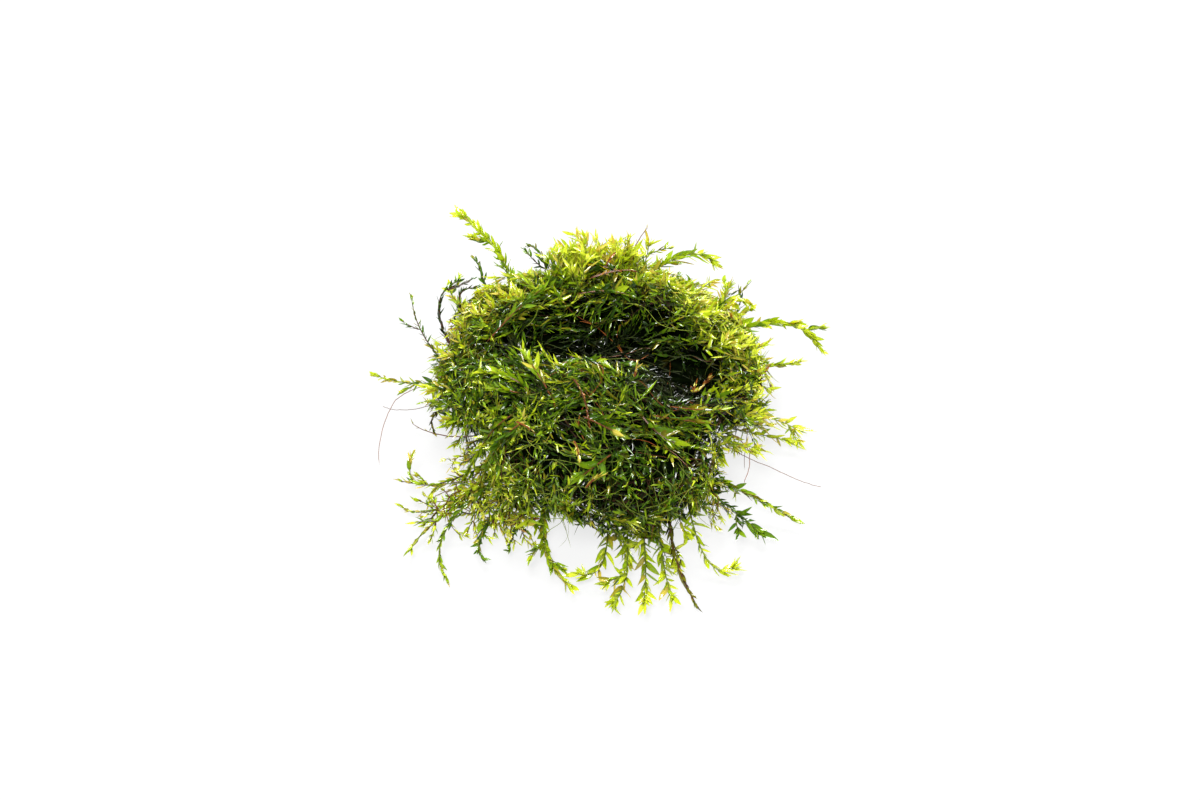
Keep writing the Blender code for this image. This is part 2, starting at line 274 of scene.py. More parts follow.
def heartMaterial():
    # Painted shade: the near-black inside of the tangle, seen only through the gaps, standing in for the
    # shade deep in it.
    made, tree = startMaterial("paintedShadeHeart")
    place = tree.nodes.new("ShaderNodeTexCoord").outputs["Object"]
    strands = stretchedNoise(tree, place, heartLook["strands"], 4.0, "3D")
    colour = colourRamp(tree, strands, heartLook["colours"])
    relief = node(tree, "Bump", {"Strength": 0.8, "Distance": 0.4 * mm, "Height": strands})
    dark = node(
        tree,
        "BsdfPrincipled",
        {"Base Color": colour, "Roughness": 1.0, "Specular IOR Level": 0.0, "Normal": relief},
    )
    node(tree, "OutputMaterial", {0: dark})
    return made


mossLeaf = leafMaterial()
mossStem = stemMaterial()
paintedShadeHeart = heartMaterial()
print("stage: finishes made")


def selectCorners(piece, wanted):
    bpy.ops.mesh.select_all(action="DESELECT")
    shape = bmesh.from_edit_mesh(piece.data)
    for corner in shape.verts:
        if wanted(corner.co):
            corner.select_set(True)
    shape.select_flush_mode()
    bmesh.update_edit_mesh(piece.data)


# A leaf is modelled once for each distance it is seen from. Its rings are places along it and its half
# width there, both as shares of a leaf 1 long and 1 wide.
leafShapes = {
    "full": {
        "rings": ((0.07, 0.32), (0.26, 0.50), (0.56, 0.43), (0.83, 0.20)),
        "fold": 0.34,
        "thickness": 0.07,
    },
    "plain": {"rings": ((0.22, 0.50), (0.64, 0.36)), "fold": 0.36, "thickness": 0.08},
    "small": {"rings": ((0.36, 0.50),), "fold": 0.36, "thickness": 0.09},
}


near = 0.001  # of a leaf's length: corners this close to a place lie on it


def modelLeaf(name, rings, fold, thickness):
    # A tube of four sides, pressed flat, closed to a foot and a point, and folded along its middle.
    bpy.ops.object.select_all(action="DESELECT")
    upright = (math.pi / 2, 0, 0)
    bpy.ops.mesh.primitive_circle_add(vertices=4, radius=1.0, fill_type="NOTHING", rotation=upright)
    leaf = bpy.context.object
    leaf.name = name
    bpy.ops.object.transform_apply(location=True, rotation=True, scale=True)
    bpy.ops.object.mode_set(mode="EDIT")
    bpy.ops.mesh.select_mode(type="VERT")
    bpy.ops.mesh.select_all(action="SELECT")
    width = rings[0][1]
    bpy.ops.transform.resize(value=(width, 1.0, thickness / 2))
    place = 0.0
    for along, halfWidth in (*rings, (1.0, rings[-1][1])):
        bpy.ops.mesh.extrude_region_move(TRANSFORM_OT_translate={"value": (0.0, along - place, 0.0)})
        bpy.ops.transform.resize(value=(halfWidth / width, 1.0, 1.0))
        place, width = along, halfWidth
    for end in (0.0, 1.0):
        selectCorners(leaf, lambda corner: abs(corner.y - end) < near)
        bpy.ops.mesh.merge(type="CENTER")
    for along, halfWidth in rings:
        selectCorners(leaf, lambda corner: abs(corner.y - along) < near and abs(corner.x) < near)
        bpy.ops.transform.translate(value=(0.0, 0.0, -fold * halfWidth))
    bpy.ops.mesh.select_all(action="SELECT")
    bpy.ops.mesh.normals_make_consistent(inside=False)
    bpy.ops.object.mode_set(mode="OBJECT")

    corners = np.array([corner.co for corner in leaf.data.vertices])
    faces = [np.array(face) for face in sorted(tuple(face.vertices) for face in leaf.data.polygons)]
    bpy.data.objects.remove(leaf)
    return {"corners": corners, "faces": faces, "side": np.sign(np.round(corners[:, 0], 4))}


leafKinds = {name: modelLeaf(name, **shape) for name, shape in leafShapes.items()}
print("stage: leaves modelled")


def unit(rows):
    return rows / np.maximum(np.linalg.norm(rows, axis=-1, keepdims=True), 1e-9)


def squareTo(rows, axis):
    # what is left of each row once its part along the axis is taken off
    return unit(rows - axis * (rows * axis).sum(-1, keepdims=True))


def sheetPlace(tone, aged, side, along):
    # where a corner lies on the colour sheet
    column = np.clip(np.floor(tone * sheet["columns"]), 0, sheet["columns"] - 1)
    u = (column + 0.5 + side * sheet["reach"]) / sheet["columns"]
    v = (aged + sheet["rowStart"] + along * sheet["rowLength"]) / 2
    return u, v


# What is kept of each leaf before it is laid, and in how many numbers.
leafColumns = (
    ("root", 3),
    ("axis", 3),
    ("face", 3),
    ("length", 1),
    ("width", 1),
    ("curl", 1),
    ("twist", 1),
    ("sway", 1),
    ("tone", 1),
    ("aged", 1),
)


def leafRows(**values):
    count = len(values["root"])
    parts = []
    for name, size in leafColumns:
        value = np.asarray(values.get(name, 0.0), float)
        parts.append(np.broadcast_to(value.reshape(-1, size) if value.ndim else value, (count, size)))
    return np.concatenate(parts, axis=1)


def readColumns(rows):
    values, start = {}, 0
    for name, size in leafColumns:
        values[name] = rows[:, start : start + size]
        start += size
    return values


leastCurl = 0.001  # radians, so that nothing is divided by zero


def layLeaves(kind, rows):
    # Copies of one leaf, each bent, twisted and set on its place: corners, faces and places on the sheet.
    leaf = leafKinds[kind]
    value = readColumns(rows)
    axis, face = unit(value["axis"]), squareTo(value["face"], unit(value["axis"]))
    across = np.cross(axis, face)
    x = leaf["corners"][None, :, 0] * value["width"]
    z = leaf["corners"][None, :, 2] * value["width"]
    s = np.broadcast_to(leaf["corners"][None, :, 1], x.shape)
    turn = value["twist"] * s
    x, z = x * np.cos(turn) + z * np.sin(turn), z * np.cos(turn) - x * np.sin(turn)
    curl = np.where(np.abs(value["curl"]) < leastCurl, leastCurl, value["curl"])
    bent = curl * s
    y = np.sin(bent) / curl * value["length"] - z * np.sin(bent)
    z = (1 - np.cos(bent)) / curl * value["length"] + z * np.cos(bent)
    x = x + value["sway"] * s * s * value["length"]
    corners = (
        value["root"][:, None, :]
        + x[..., None] * across[:, None, :]
        + y[..., None] * axis[:, None, :]
        + z[..., None] * face[:, None, :]
    )
    u, v = sheetPlace(value["tone"], value["aged"], leaf["side"][None, :], s)
    first = np.arange(len(rows)) * len(leaf["corners"])
    faces = [(f[None, :] + first[:, None]) for f in leaf["faces"]]
    return corners.reshape(-1, 3), faces, np.stack([u, v], -1).reshape(-1, 2)


nearlyUp = (0.13, 0.21, 0.97)  # along no stem, so that it has a side to turn there


def layStem(stem):
    # A thin tube along a path, closed to a point at each end.
    path, radius, sides = stem["path"], stem["radius"], stem["sides"]
    forward = unit(np.gradient(path, axis=0))
    up = squareTo(np.broadcast_to(np.array(nearlyUp), path.shape), forward)
    across = np.cross(forward, up)
    turns = np.arange(sides) / sides * math.tau
    spokes = np.cos(turns)[None, :, None] * up[:, None, :]
    spokes = spokes + np.sin(turns)[None, :, None] * across[:, None, :]
    rings = path[1:-1, None, :] + spokes[1:-1] * radius[1:-1, None, None]
    count = len(path) - 2
    corners = np.concatenate([path[:1], rings.reshape(-1, 3), path[-1:]])
    ring = 1 + np.arange(count)[:, None] * sides + np.arange(sides)[None, :]
    after = np.roll(ring, -1, axis=1)
    walls = np.stack([ring[:-1], after[:-1], after[1:], ring[1:]], -1).reshape(-1, 4)
    foot = np.stack([np.zeros(sides, int), after[0], ring[0]], -1)
    point = np.stack([ring[-1], after[-1], np.full(sides, len(corners) - 1)], -1)
    side = np.concatenate([[0.0], np.tile(1 - 2 * np.abs(np.arange(sides) * 2 / sides - 1), count), [0.0]])
    along = np.concatenate([[0.0], np.repeat(np.arange(1, count + 1) / (count + 1), sides), [1.0]])
    u, v = sheetPlace(np.full(len(side), stem["tone"]), np.full(len(side), stem["aged"]), side, along)
    return corners, [walls, np.concatenate([foot, point])], np.stack([u, v], -1)


# The height in millimetres where leaves begin to lie flat over the floor, and the one where the tallest
# bow over.
floorSkin = {"start": 0.5, "least": 0.06}
ceiling = {"start": 27.6, "most": 28.7}
smoothOver = 70  # degrees between two faces, past which their edge stays sharp


def newBed():
    return {"leaves": {kind: [] for kind in leafKinds}, "stems": []}


def growPiece(name, bed, nodes):
    # One piece from a bed of leaves and stems.
    corners, faces, places, finishes = [], [], [], []
    total = 0
    batches = [(*layLeaves(kind, np.concatenate(rows)), 0) for kind, rows in bed["leaves"].items() if rows]
    batches += [(*layStem(stem), 1) for stem in bed["stems"]]
    for batchCorners, batchFaces, batchPlaces, finish in batches:
        for group in batchFaces:
            faces.append(group + total)
            finishes.append(np.full(len(group), finish))
        corners.append(batchCorners)
        places.append(batchPlaces)
        total += len(batchCorners)
    corners, places = np.concatenate(corners), np.concatenate(places)

    # What would sink into the floor is laid over it instead.
    low = corners[:, 2] < floorSkin["start"]
    span = floorSkin["start"] - floorSkin["least"]
    corners[low, 2] = floorSkin["least"] + span * np.exp((corners[low, 2] - floorSkin["start"]) / span)
    tall = corners[:, 2] > ceiling["start"]
    span = ceiling["most"] - ceiling["start"]
    corners[tall, 2] = ceiling["most"] - span * np.exp((ceiling["start"] - corners[tall, 2]) / span)

    mesh = bpy.data.meshes.new(name)
    mesh.vertices.add(total)
    mesh.vertices.foreach_set("co", (corners * mm).astype(np.float32).ravel())
    loops = np.concatenate([group.ravel() for group in faces])
    sizes = np.concatenate([np.full(len(group), group.shape[1]) for group in faces])
    mesh.loops.add(len(loops))
    mesh.loops.foreach_set("vertex_index", loops.astype(np.int32))
    mesh.polygons.add(len(sizes))
    mesh.polygons.foreach_set("loop_start", (np.cumsum(sizes) - sizes).astype(np.int32))
    mesh.polygons.foreach_set("material_index", np.concatenate(finishes).astype(np.int32))
    mesh.materials.append(mossLeaf)
    mesh.materials.append(mossStem)
    uv = mesh.uv_layers.new(name="OFBake")
    uv.data.foreach_set("uv", places[loops].astype(np.float32).ravel())
    mesh.update(calc_edges=True)
    mesh.validate()

    piece = bpy.data.objects.new(name, mesh)
    bpy.context.scene.collection.objects.link(piece)
    bpy.ops.object.select_all(action="DESELECT")
    piece.select_set(True)
    bpy.context.view_layer.objects.active = piece
    bpy.ops.object.shade_smooth_by_angle(angle=math.radians(smoothOver))
    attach(piece, "root")
    if nodes:
        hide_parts(*nodes)
    print("piece:", name, int((sizes - 2).sum()), "triangles")


bendPull = 0.6  # how far a path goes towards its bend, from just being drawn to it to running through it


def bentPath(root, bend, tip, count):
    # The same curve as the CAD shoot's: from its root past its bend to its tip.
    root, bend, tip = (np.array(place, float) for place in (root, bend, tip))
    pull = bend + (bend * 2 - (root + tip) / 2 - bend) * bendPull
    t = np.linspace(0, 1, count)[:, None]
    return root * (1 - t) ** 2 + pull * 2 * t * (1 - t) + tip * t * t


def wander(path, step, rng, axes=3):
    # how far a path strays between its ends
    return np.cumsum(rng.normal(0, step, (len(path) - 2, axes)), axis=0)


def alongPath(path, pitch, start):
    # Places a pitch apart on a path, from a share of its length on, with the direction and the share of
    # the way there.
    steps = np.linalg.norm(np.diff(path, axis=0), axis=1)
    reach = np.concatenate([[0.0], np.cumsum(steps)])
    shares = np.arange(start * reach[-1], reach[-1], pitch) / reach[-1]
    at = np.stack([np.interp(shares * reach[-1], reach, path[:, i]) for i in range(3)], -1)
    ahead = unit(np.gradient(path, axis=0))
    forward = unit(np.stack([np.interp(shares * reach[-1], reach, ahead[:, i]) for i in range(3)], -1))
    return at, forward, shares


# How a shoot carries its leaves: how far apart, how long, how wide for their length, how far open at the
# foot and the tip of the shoot, and the same of the tuft at its tip. Lengths in millimetres, angles in
# degrees.
habitDefaults = {
    "kind": "full",
    "bare": 0.0,  # share of the stem without leaves, from its foot
    "flat": 0.5,  # how much the leaves lie in one plane
    "curl": (-20, 30),
    "hidden": -2,  # leaves that point further down than this are left out: none here, more from 0 up
    "missing": 0.0,  # share of leaves that are lost
    "taper": 0.2,  # how much shorter the last leaves are
}
habits = {
    "strand": {  # in the mat: plaits of short leaves
        "kind": "plain", "pitch": 0.36, "length": 1.8, "lengthSpread": 0.5, "width": 0.23,
        "open": (24, 15), "flat": 0.45, "bare": 0.03, "curl": (-25, 45), "tipLeaves": 3,
        "tipOpen": 12, "stem": 0.11, "hidden": -0.3, "taper": 0.3,
    },
    "rope": {  # in the mat: leaves pressed to the stem
        "kind": "small", "pitch": 0.34, "length": 1.35, "lengthSpread": 0.4, "width": 0.24,
        "open": (18, 12), "flat": 0.3, "curl": (-20, 35), "tipLeaves": 3, "tipOpen": 12,
        "stem": 0.13, "hidden": -0.2, "taper": 0.3,
    },
    "blade": {  # in the mat: long narrow leaves
        "kind": "plain", "pitch": 0.42, "length": 2.5, "lengthSpread": 0.45, "width": 0.15,
        "open": (30, 18), "bare": 0.04, "curl": (-25, 40), "tipLeaves": 5, "tipOpen": 14,
        "stem": 0.12, "hidden": -0.3,
    },
    "tuft": {  # in the mat: open tufts
        "kind": "plain", "pitch": 0.38, "length": 1.9, "lengthSpread": 0.4, "width": 0.22,
        "open": (42, 26), "flat": 0.35, "bare": 0.05, "curl": (-35, 45), "tipLeaves": 5,
        "tipOpen": 26, "stem": 0.12, "hidden": -0.35,
    },
    "inner": {  # older growth under them
        "kind": "small", "pitch": 0.60, "length": 2.1, "lengthSpread": 0.3, "width": 0.30,
        "open": (60, 45), "flat": 0.2, "tipLeaves": 2, "tipOpen": 20, "stem": 0.14, "hidden": -0.6,
    },
    "bushy": {  # crowded, with a broad tip
        "pitch": 0.24, "length": 1.9, "lengthSpread": 0.4, "width": 0.36, "open": (36, 24),
        "flat": 0.45, "bare": 0.05, "tipLeaves": 11, "tipOpen": 46, "stem": 0.17, "taper": 0.1,
    },
    "leafy": {
        "pitch": 0.32, "length": 2.0, "lengthSpread": 0.45, "width": 0.38, "open": (26, 18),
        "flat": 0.55, "bare": 0.06, "tipLeaves": 5, "tipOpen": 20, "stem": 0.15, "taper": 0.3,
    },
    "blades": {  # long narrow leaves, in one plane
        "pitch": 0.36, "length": 3.2, "lengthSpread": 0.3, "width": 0.27, "open": (28, 20),
        "flat": 0.7, "bare": 0.1, "curl": (-15, 25), "tipLeaves": 5, "tipOpen": 22, "stem": 0.15,
        "taper": 0.1,
    },
    "starry": {  # leaves that stand well off the stem
        "pitch": 0.46, "length": 2.8, "lengthSpread": 0.5, "width": 0.27, "open": (46, 34),
        "bare": 0.10, "curl": (-25, 40), "tipLeaves": 8, "tipOpen": 50, "stem": 0.18, "taper": 0.0,
    },
    "sparse": {
        "pitch": 0.42, "length": 1.9, "lengthSpread": 0.4, "width": 0.32, "open": (30, 20),
        "flat": 0.4, "bare": 0.10, "tipLeaves": 5, "tipOpen": 22, "stem": 0.17,
    },
    "fringe": {  # along the mat's rim
        "kind": "plain", "pitch": 0.40, "length": 2.1, "lengthSpread": 0.25, "width": 0.25,
        "open": (50, 30), "flat": 0.4, "tipLeaves": 5, "tipOpen": 26, "stem": 0.12, "taper": 0.15,
    },
    "fringeStar": {
        "kind": "plain", "pitch": 0.52, "length": 2.6, "lengthSpread": 0.2, "width": 0.24,
        "open": (56, 40), "tipLeaves": 6, "tipOpen": 40, "stem": 0.12, "taper": 0.0,
    },
    "netTwig": {  # loose twigs on the floor
        "kind": "plain", "pitch": 0.42, "length": 1.6, "lengthSpread": 0.3, "width": 0.30,
        "open": (42, 30), "bare": 0.08, "tipLeaves": 5, "tipOpen": 22, "stem": 0.16,
        "missing": 0.35,
    },
    "netStar": {
        "pitch": 0.50, "length": 2.6, "lengthSpread": 0.3, "width": 0.28, "open": (54, 40),
        "bare": 0.1, "curl": (-25, 40), "tipLeaves": 7, "tipOpen": 45, "stem": 0.16, "taper": 0.0,
    },
    "husk": {  # an old shoot with its brown leaves pressed on
        "pitch": 0.42, "length": 2.3, "lengthSpread": 0.25, "width": 0.26, "open": (16, 10),
        "flat": 0.1, "curl": (-10, 15), "tipLeaves": 4, "tipOpen": 10, "stem": 0.22,
    },
    "twig": {  # nearly bare
        "pitch": 2.1, "length": 1.1, "lengthSpread": 0.3, "width": 0.22, "open": (40, 30),
        "flat": 0.1, "bare": 0.1, "tipLeaves": 2, "tipOpen": 16, "stem": 0.15,
    },
    "ribbon": {  # narrow and drooping
        "pitch": 0.28, "length": 1.6, "lengthSpread": 0.25, "width": 0.34, "open": (20, 14),
        "bare": 0.05, "curl": (-10, 20), "tipLeaves": 3, "tipOpen": 14, "stem": 0.24, "taper": 0.3,
    },
}
habits = {name: {**habitDefaults, **own} for name, own in habits.items()}


goldenTurn = 2.39996


# Painted shade over the cleft in the mat and the hollow at its right end, where the leaves' tones are taken
# down
# nearly to black: lines as seen from above, each with how far its shade reaches to both sides, in
# millimetres.
clefts = (
    ((-10, 4.8), (0, 5.2), 2.0),
    ((0, 5.2), (9, 4.6), 2.1),
    ((9, 2.8), (20, 0), 4.2),
    ((10, -4), (20, -5.5), 5.4),
    ((20, 0), (24, -5), 2.6),
    ((-16, 2.5), (-11, 1.5), 1.8),
)
deepest = 0.15
cleftEdge = {"steep": 2, "dark": 0.9}  # shade grows this fast with the distance, less this much


def cleftShade(places):
    # a factor on the tones: painted shade, lowest on the lines and gone past their reach
    shade = np.ones(len(places))
    for start, end, reach in clefts:
        start, run = np.array(start, float), np.array(end, float) - start
        share = np.clip(((places[:, :2] - start) @ run) / (run @ run), 0, 1)
        away = np.linalg.norm(places[:, :2] - start - share[:, None] * run, axis=1)
        lit = cleftEdge["steep"] * away / reach - cleftEdge["dark"]
        shade = np.minimum(shade, np.clip(lit, deepest, 1.0))
    return shade


# How unevenly the leaves of one shoot grow: spreads from leaf to leaf.
uneven = {
    "turn": 0.25,  # radians
    "open": 12,  # degrees
    "axis": 0.12,
    "face": 0.22,
    "twist": 0.7,  # radians
    "sway": 0.12,
    "tone": 0.08,
    "stemTone": 0.04,
    "length": 0.6,  # of the habit's own spread
    "lengthLimits": (0.5, 1.5),
    "width": (0.8, 1.25),
}
facing = {"out": 0.6, "up": 0.9}  # how far a flat shoot's leaves turn their faces from its stem and upwards
# Leaves start this small at the stem's foot and gain this much over the whole stem, up to their full size.
youngest = {"size": 0.6, "grows": 3}
# The tuft at a tip, as shares of the leaves' own values, with its spreads as above.
tipTuft = {
    "open": (0.25, 1.15),
    "taper": 0.8,
    "size": (0.6, 0.95),
    "width": (0.8, 1.1),
    "aged": 0.6,
    "behind": 0.75,  # how far its leaves start behind the tip
    "root": 0.05,  # mm
    "face": 0.35,
    "lean": 0.4,
    "twist": 0.4,
    "sway": 0.05,
    "paler": 0.10,
    "tone": 0.04,
}
# Painted shade along each shoot: its tone rises by this from its foot, sunk deep in the tangle, to its tip,
# which is also fresher growth.
toneRise = 0.26  # from a shoot's foot to its tip
toneLimits = {"least": 0.02, "fresh": 0.84, "aged": 0.74, "worn": 0.99, "stem": 0.98}
keptInShade = 0.35  # share of leaves that grow on in full shade
stemTaper = 0.6


def clipTones(tones, old, shootTone):
    # Only a shoot that is worn all over takes the brown columns at the sheet's end.
    if shootTone < toneLimits["fresh"]:
        most = np.where(old, toneLimits["aged"], toneLimits["fresh"])
    else:
        most = toneLimits["worn"]
    return np.clip(tones, toneLimits["least"], most)


def leavesAlong(stalk, habit, length, tone, aged, rng):
    # Leaves all round a stem, turned from one to the next by the golden angle.
    at, forward, upward, across, shares, shade = stalk
    count, flat = len(at), habit["flat"]
    turn = np.arange(count) * goldenTurn + rng.uniform(0, math.tau) + rng.normal(0, uneven["turn"], count)
    out = unit(np.cos(turn)[:, None] * across + (1 - flat) * np.sin(turn)[:, None] * upward)
    atFoot, atTip = habit["open"]
    opened = np.radians(atFoot + (atTip - atFoot) * shares + rng.normal(0, uneven["open"], count))
    kept = ((out * upward).sum(1) > habit["hidden"]) & (rng.uniform(0, 1, count) > habit["missing"])
    kept &= rng.uniform(0, 1, count) < shade + keptInShade
    axis = forward * np.cos(opened)[:, None] + out * np.sin(opened)[:, None]
    axis = unit(axis + rng.normal(0, uneven["axis"], (count, 3)))
    face = forward * np.sin(opened)[:, None] - out * np.cos(opened)[:, None]
    face = face * (1 - facing["out"] * flat) + upward * facing["up"] * flat
    face = unit(face + rng.normal(0, uneven["face"], (count, 3)))

    # Shorter at the stem's foot, and towards its tip.
    spread = habit["lengthSpread"] * uneven["length"]
    size = length * rng.normal(1.0, spread, count).clip(*uneven["lengthLimits"])
    size *= 1 - habit["taper"] * shares**2
    size *= np.minimum(1.0, youngest["size"] + shares * youngest["grows"])
    width = size * habit["width"] * rng.uniform(*uneven["width"], count)
    curl = np.radians(rng.uniform(*habit["curl"], count))
    old = rng.uniform(0, 1, count) < aged
    twist, sway = rng.normal(0, uneven["twist"], count), rng.normal(0, uneven["sway"], count)
    # painted shade: darker towards the foot, and in the cleft and hollow
    tones = (tone + (shares - 0.5) * toneRise + rng.normal(0, uneven["tone"], count)) * shade
    rows = leafRows(
        root=at,
        axis=axis,
        face=face,
        length=size,
        width=width,
        curl=curl,
        twist=twist,
        sway=sway,
        tone=clipTones(tones, old, tone),
        aged=old.astype(float),
    )
    return rows[kept]


def leavesAtTip(stalk, path, habit, length, tone, aged, rng):
    # The tuft that ends a shoot: fewer aged leaves, a little paler than the rest.
    at, forward, upward, across, shares, shade = stalk
    tips, up = habit["tipLeaves"], upward[-1]
    turn = np.arange(tips) * goldenTurn + rng.uniform(0, math.tau)
    ahead = unit(path[-1] - path[-3])
    out = np.cos(turn)[:, None] * across[-1] + np.sin(turn)[:, None] * up * (1 - 0.5 * habit["flat"])
    angle = np.radians(habit["tipOpen"]) * rng.uniform(*tipTuft["open"], tips)[:, None]
    size = length * (1 - habit["taper"] * tipTuft["taper"]) * rng.uniform(*tipTuft["size"], tips)
    old = rng.uniform(0, 1, tips) < aged * tipTuft["aged"]
    root = path[-1] - ahead * size.mean() * tipTuft["behind"] + rng.normal(0, tipTuft["root"], (tips, 3))
    face = up + rng.normal(0, tipTuft["face"], (tips, 3)) - out * tipTuft["lean"]
    width = size * habit["width"] * rng.uniform(*tipTuft["width"], tips)
    curl = np.radians(rng.uniform(*habit["curl"], tips))
    twist, sway = rng.normal(0, tipTuft["twist"], tips), rng.normal(0, tipTuft["sway"], tips)
    # painted shade from the cleft and hollow, as at the last leaf
    tones = (tone + tipTuft["paler"] + rng.normal(0, tipTuft["tone"], tips)) * shade[-1]
    return leafRows(
        root=root,
        axis=ahead * np.cos(angle) + out * np.sin(angle),
        face=face,
        length=size,
        width=width,
        curl=curl,
        twist=twist,
        sway=sway,
        tone=clipTones(tones, old, tone),
        aged=old.astype(float),
    )


def bareStem(bed, path, radius, tone, aged=1, sides=4, taper=0.5):
    shares = np.linspace(0, 1, len(path))
    bed["stems"].append(
        {"path": path, "radius": radius * (1 - taper * shares), "sides": sides, "tone": tone, "aged": aged}
    )


def dressShoot(
    bed, path, habit, rng, tone, aged, stemTone, stemAged=0, length=None, up=(0, 0, 1), sides=4, inMat=False
):
    # Lays a stem along a path, with its leaves round it and a tuft at its tip.
    habit = habits[habit] if isinstance(habit, str) else habit
    length = length or habit["length"]
    at, forward, shares = alongPath(path, habit["pitch"], habit["bare"])
    upward = squareTo(np.broadcast_to(np.array(up, float), (len(at), 3)) + 0.001, forward)
    # painted shade: the leaves' tones are taken down in the cleft and the hollow
    shade = cleftShade(at) if inMat else np.ones(len(at))
    stalk = at, forward, upward, np.cross(forward, upward), shares, shade
    leaves = bed["leaves"][habit["kind"]]
    leaves.append(leavesAlong(stalk, habit, length, tone, aged, rng))
    leaves.append(leavesAtTip(stalk, path, habit, length, tone, aged, rng))
    stemTone = max(toneLimits["least"], stemTone + rng.normal(0, uneven["stemTone"]))
    bareStem(bed, path, habit["stem"], min(toneLimits["stem"], stemTone), stemAged, sides, stemTaper)


# The mat: what of its CAD solid the shoots creep over, and the heart inside them, near black with painted
# shade.
heart = {
    "voxel": 1.2,  # mm
    "inset": 1.1,  # mm, taken twice
    "scale": (0.90, 0.93, 0.95),
    "middle": (0.0, -4.0, 0.0),  # mm
    "smoothing": 10,  # rounds, as below
    "laterSmoothing": 4,
    "roughness": 0.9,  # mm
    "grain": 2.6,  # mm
}
creepSurface = {"voxel": 1.2, "smoothing": 14}


def useModifier(piece, kind, **settings):
    made = piece.modifiers.new(kind.lower(), kind)
    for key, value in settings.items():
        setattr(made, key, value)
    bpy.ops.object.modifier_apply(modifier=made.name)


def copyOfMat(name, voxel, smoothing):
    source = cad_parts["moss_mat"]
    copied = bpy.data.objects.new(name, source.data.copy())
    bpy.context.scene.collection.objects.link(copied)
    bpy.ops.object.select_all(action="DESELECT")
    copied.select_set(True)
    bpy.context.view_layer.objects.active = copied
    bpy.ops.object.mode_set(mode="EDIT")
    bpy.ops.mesh.select_all(action="SELECT")
    bpy.ops.mesh.remove_doubles(threshold=0.01 * mm)
    bpy.ops.object.mode_set(mode="OBJECT")
    useModifier(copied, "REMESH", mode="VOXEL", voxel_size=voxel * mm)
    useModifier(copied, "SMOOTH", factor=0.5, iterations=smoothing)
    return copied


def keepLargest(piece):
    # Drops the crumbs that the inset leaves beside the main form.
    bpy.ops.object.mode_set(mode="EDIT")
    bpy.ops.mesh.select_mode(type="VERT")
    bpy.ops.mesh.select_all(action="DESELECT")
    shape = bmesh.from_edit_mesh(piece.data)
    left = set(shape.verts)
    islands = []
    while left:
        island, edge = set(), [left.pop()]
        while edge:
            corner = edge.pop()
            island.add(corner)
            beside = {side.other_vert(corner) for side in corner.link_edges} & left
            left -= beside
            edge += beside
        islands.append(island)
    for island in sorted(islands, key=len)[:-1]:
        for corner in island:
            corner.select_set(True)
    shape.select_flush_mode()
    bmesh.update_edit_mesh(piece.data)
    bpy.ops.mesh.delete(type="VERT")
    bpy.ops.object.mode_set(mode="OBJECT")


# Where the shoots lie deeper than the solid's skin: a place on it, how far round it, and which way they
# give, in mm.
pressedIn = (
    ((-8, 0, 18), 4.5, (0, 0, -2.2)),
    ((0, 0, 18), 4.5, (0, 0, -2.4)),
    ((7, -1, 18), 4.5, (0, 0, -2.2)),
    ((15, -4, 14), 5.5, (0, 0, -1.6)),
    ((-26, -8, 6), 5.5, (3.4, 1.2, 0)),
    ((24, -11, 6), 5.0, (-2.6, 1.2, 0)),
    ((-6, -25, 4), 6.0, (0, 2.6, 0)),
    ((15, 16, 18), 4.5, (-0.8, -1.8, -1.2)),
    ((-11, 18, 16), 4.0, (0, -2.0, -0.5)),
)


def pressIn(corners):
    for middle, reach, move in pressedIn:
        near = np.exp(-((np.linalg.norm(corners - middle, axis=1) / reach) ** 2))
        corners = corners + near[:, None] * move
    return corners


def makeHeart():
    piece = copyOfMat("mat_heart", heart["voxel"], heart["smoothing"])
    for _ in range(2):
        useModifier(piece, "DISPLACE", strength=-heart["inset"] * mm, mid_level=0.0)
        useModifier(piece, "REMESH", mode="VOXEL", voxel_size=heart["voxel"] * mm)
        useModifier(piece, "SMOOTH", factor=0.5, iterations=heart["laterSmoothing"])
    bpy.ops.object.mode_set(mode="EDIT")
    bpy.ops.mesh.select_all(action="SELECT")
    middle = [place * mm for place in heart["middle"]]
    bpy.ops.transform.resize(value=heart["scale"], center_override=middle)
    bpy.ops.object.mode_set(mode="OBJECT")
    keepLargest(piece)
    useModifier(piece, "REMESH", mode="VOXEL", voxel_size=heart["voxel"] * mm)
    useModifier(piece, "SMOOTH", factor=0.5, iterations=heart["laterSmoothing"])
    clouds = bpy.data.textures.new("tangle", "CLOUDS")
    clouds.noise_scale = heart["grain"] * mm
    rough = {"texture": clouds, "texture_coords": "LOCAL", "mid_level": 0.6}
    useModifier(piece, "DISPLACE", strength=heart["roughness"] * mm, **rough)
    corners = pressIn(np.array([corner.co for corner in piece.data.vertices]) / mm)
    piece.data.vertices.foreach_set("co", (corners * mm).astype(np.float32).ravel())
    bpy.ops.object.shade_smooth()
    piece.data.materials.clear()
    piece.data.materials.append(paintedShadeHeart)
    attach(piece, "root")
    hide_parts("moss_mat")


makeHeart()
guide = copyOfMat("guide", **creepSurface)
guideCorners = pressIn(np.array([corner.co for corner in guide.data.vertices]) / mm)
guideFaces = [tuple(face.vertices) for face in guide.data.polygons]
matSkin = BVHTree.FromPolygons([Vector(corner) for corner in guideCorners], guideFaces)
faceCentres = np.array([guideCorners[list(face)].mean(0) for face in guideFaces])
faceAreas = np.array([face.area for face in guide.data.polygons])
faceNormals = np.array([face.normal for face in guide.data.polygons])
bpy.data.objects.remove(guide)
print("stage: heart made")
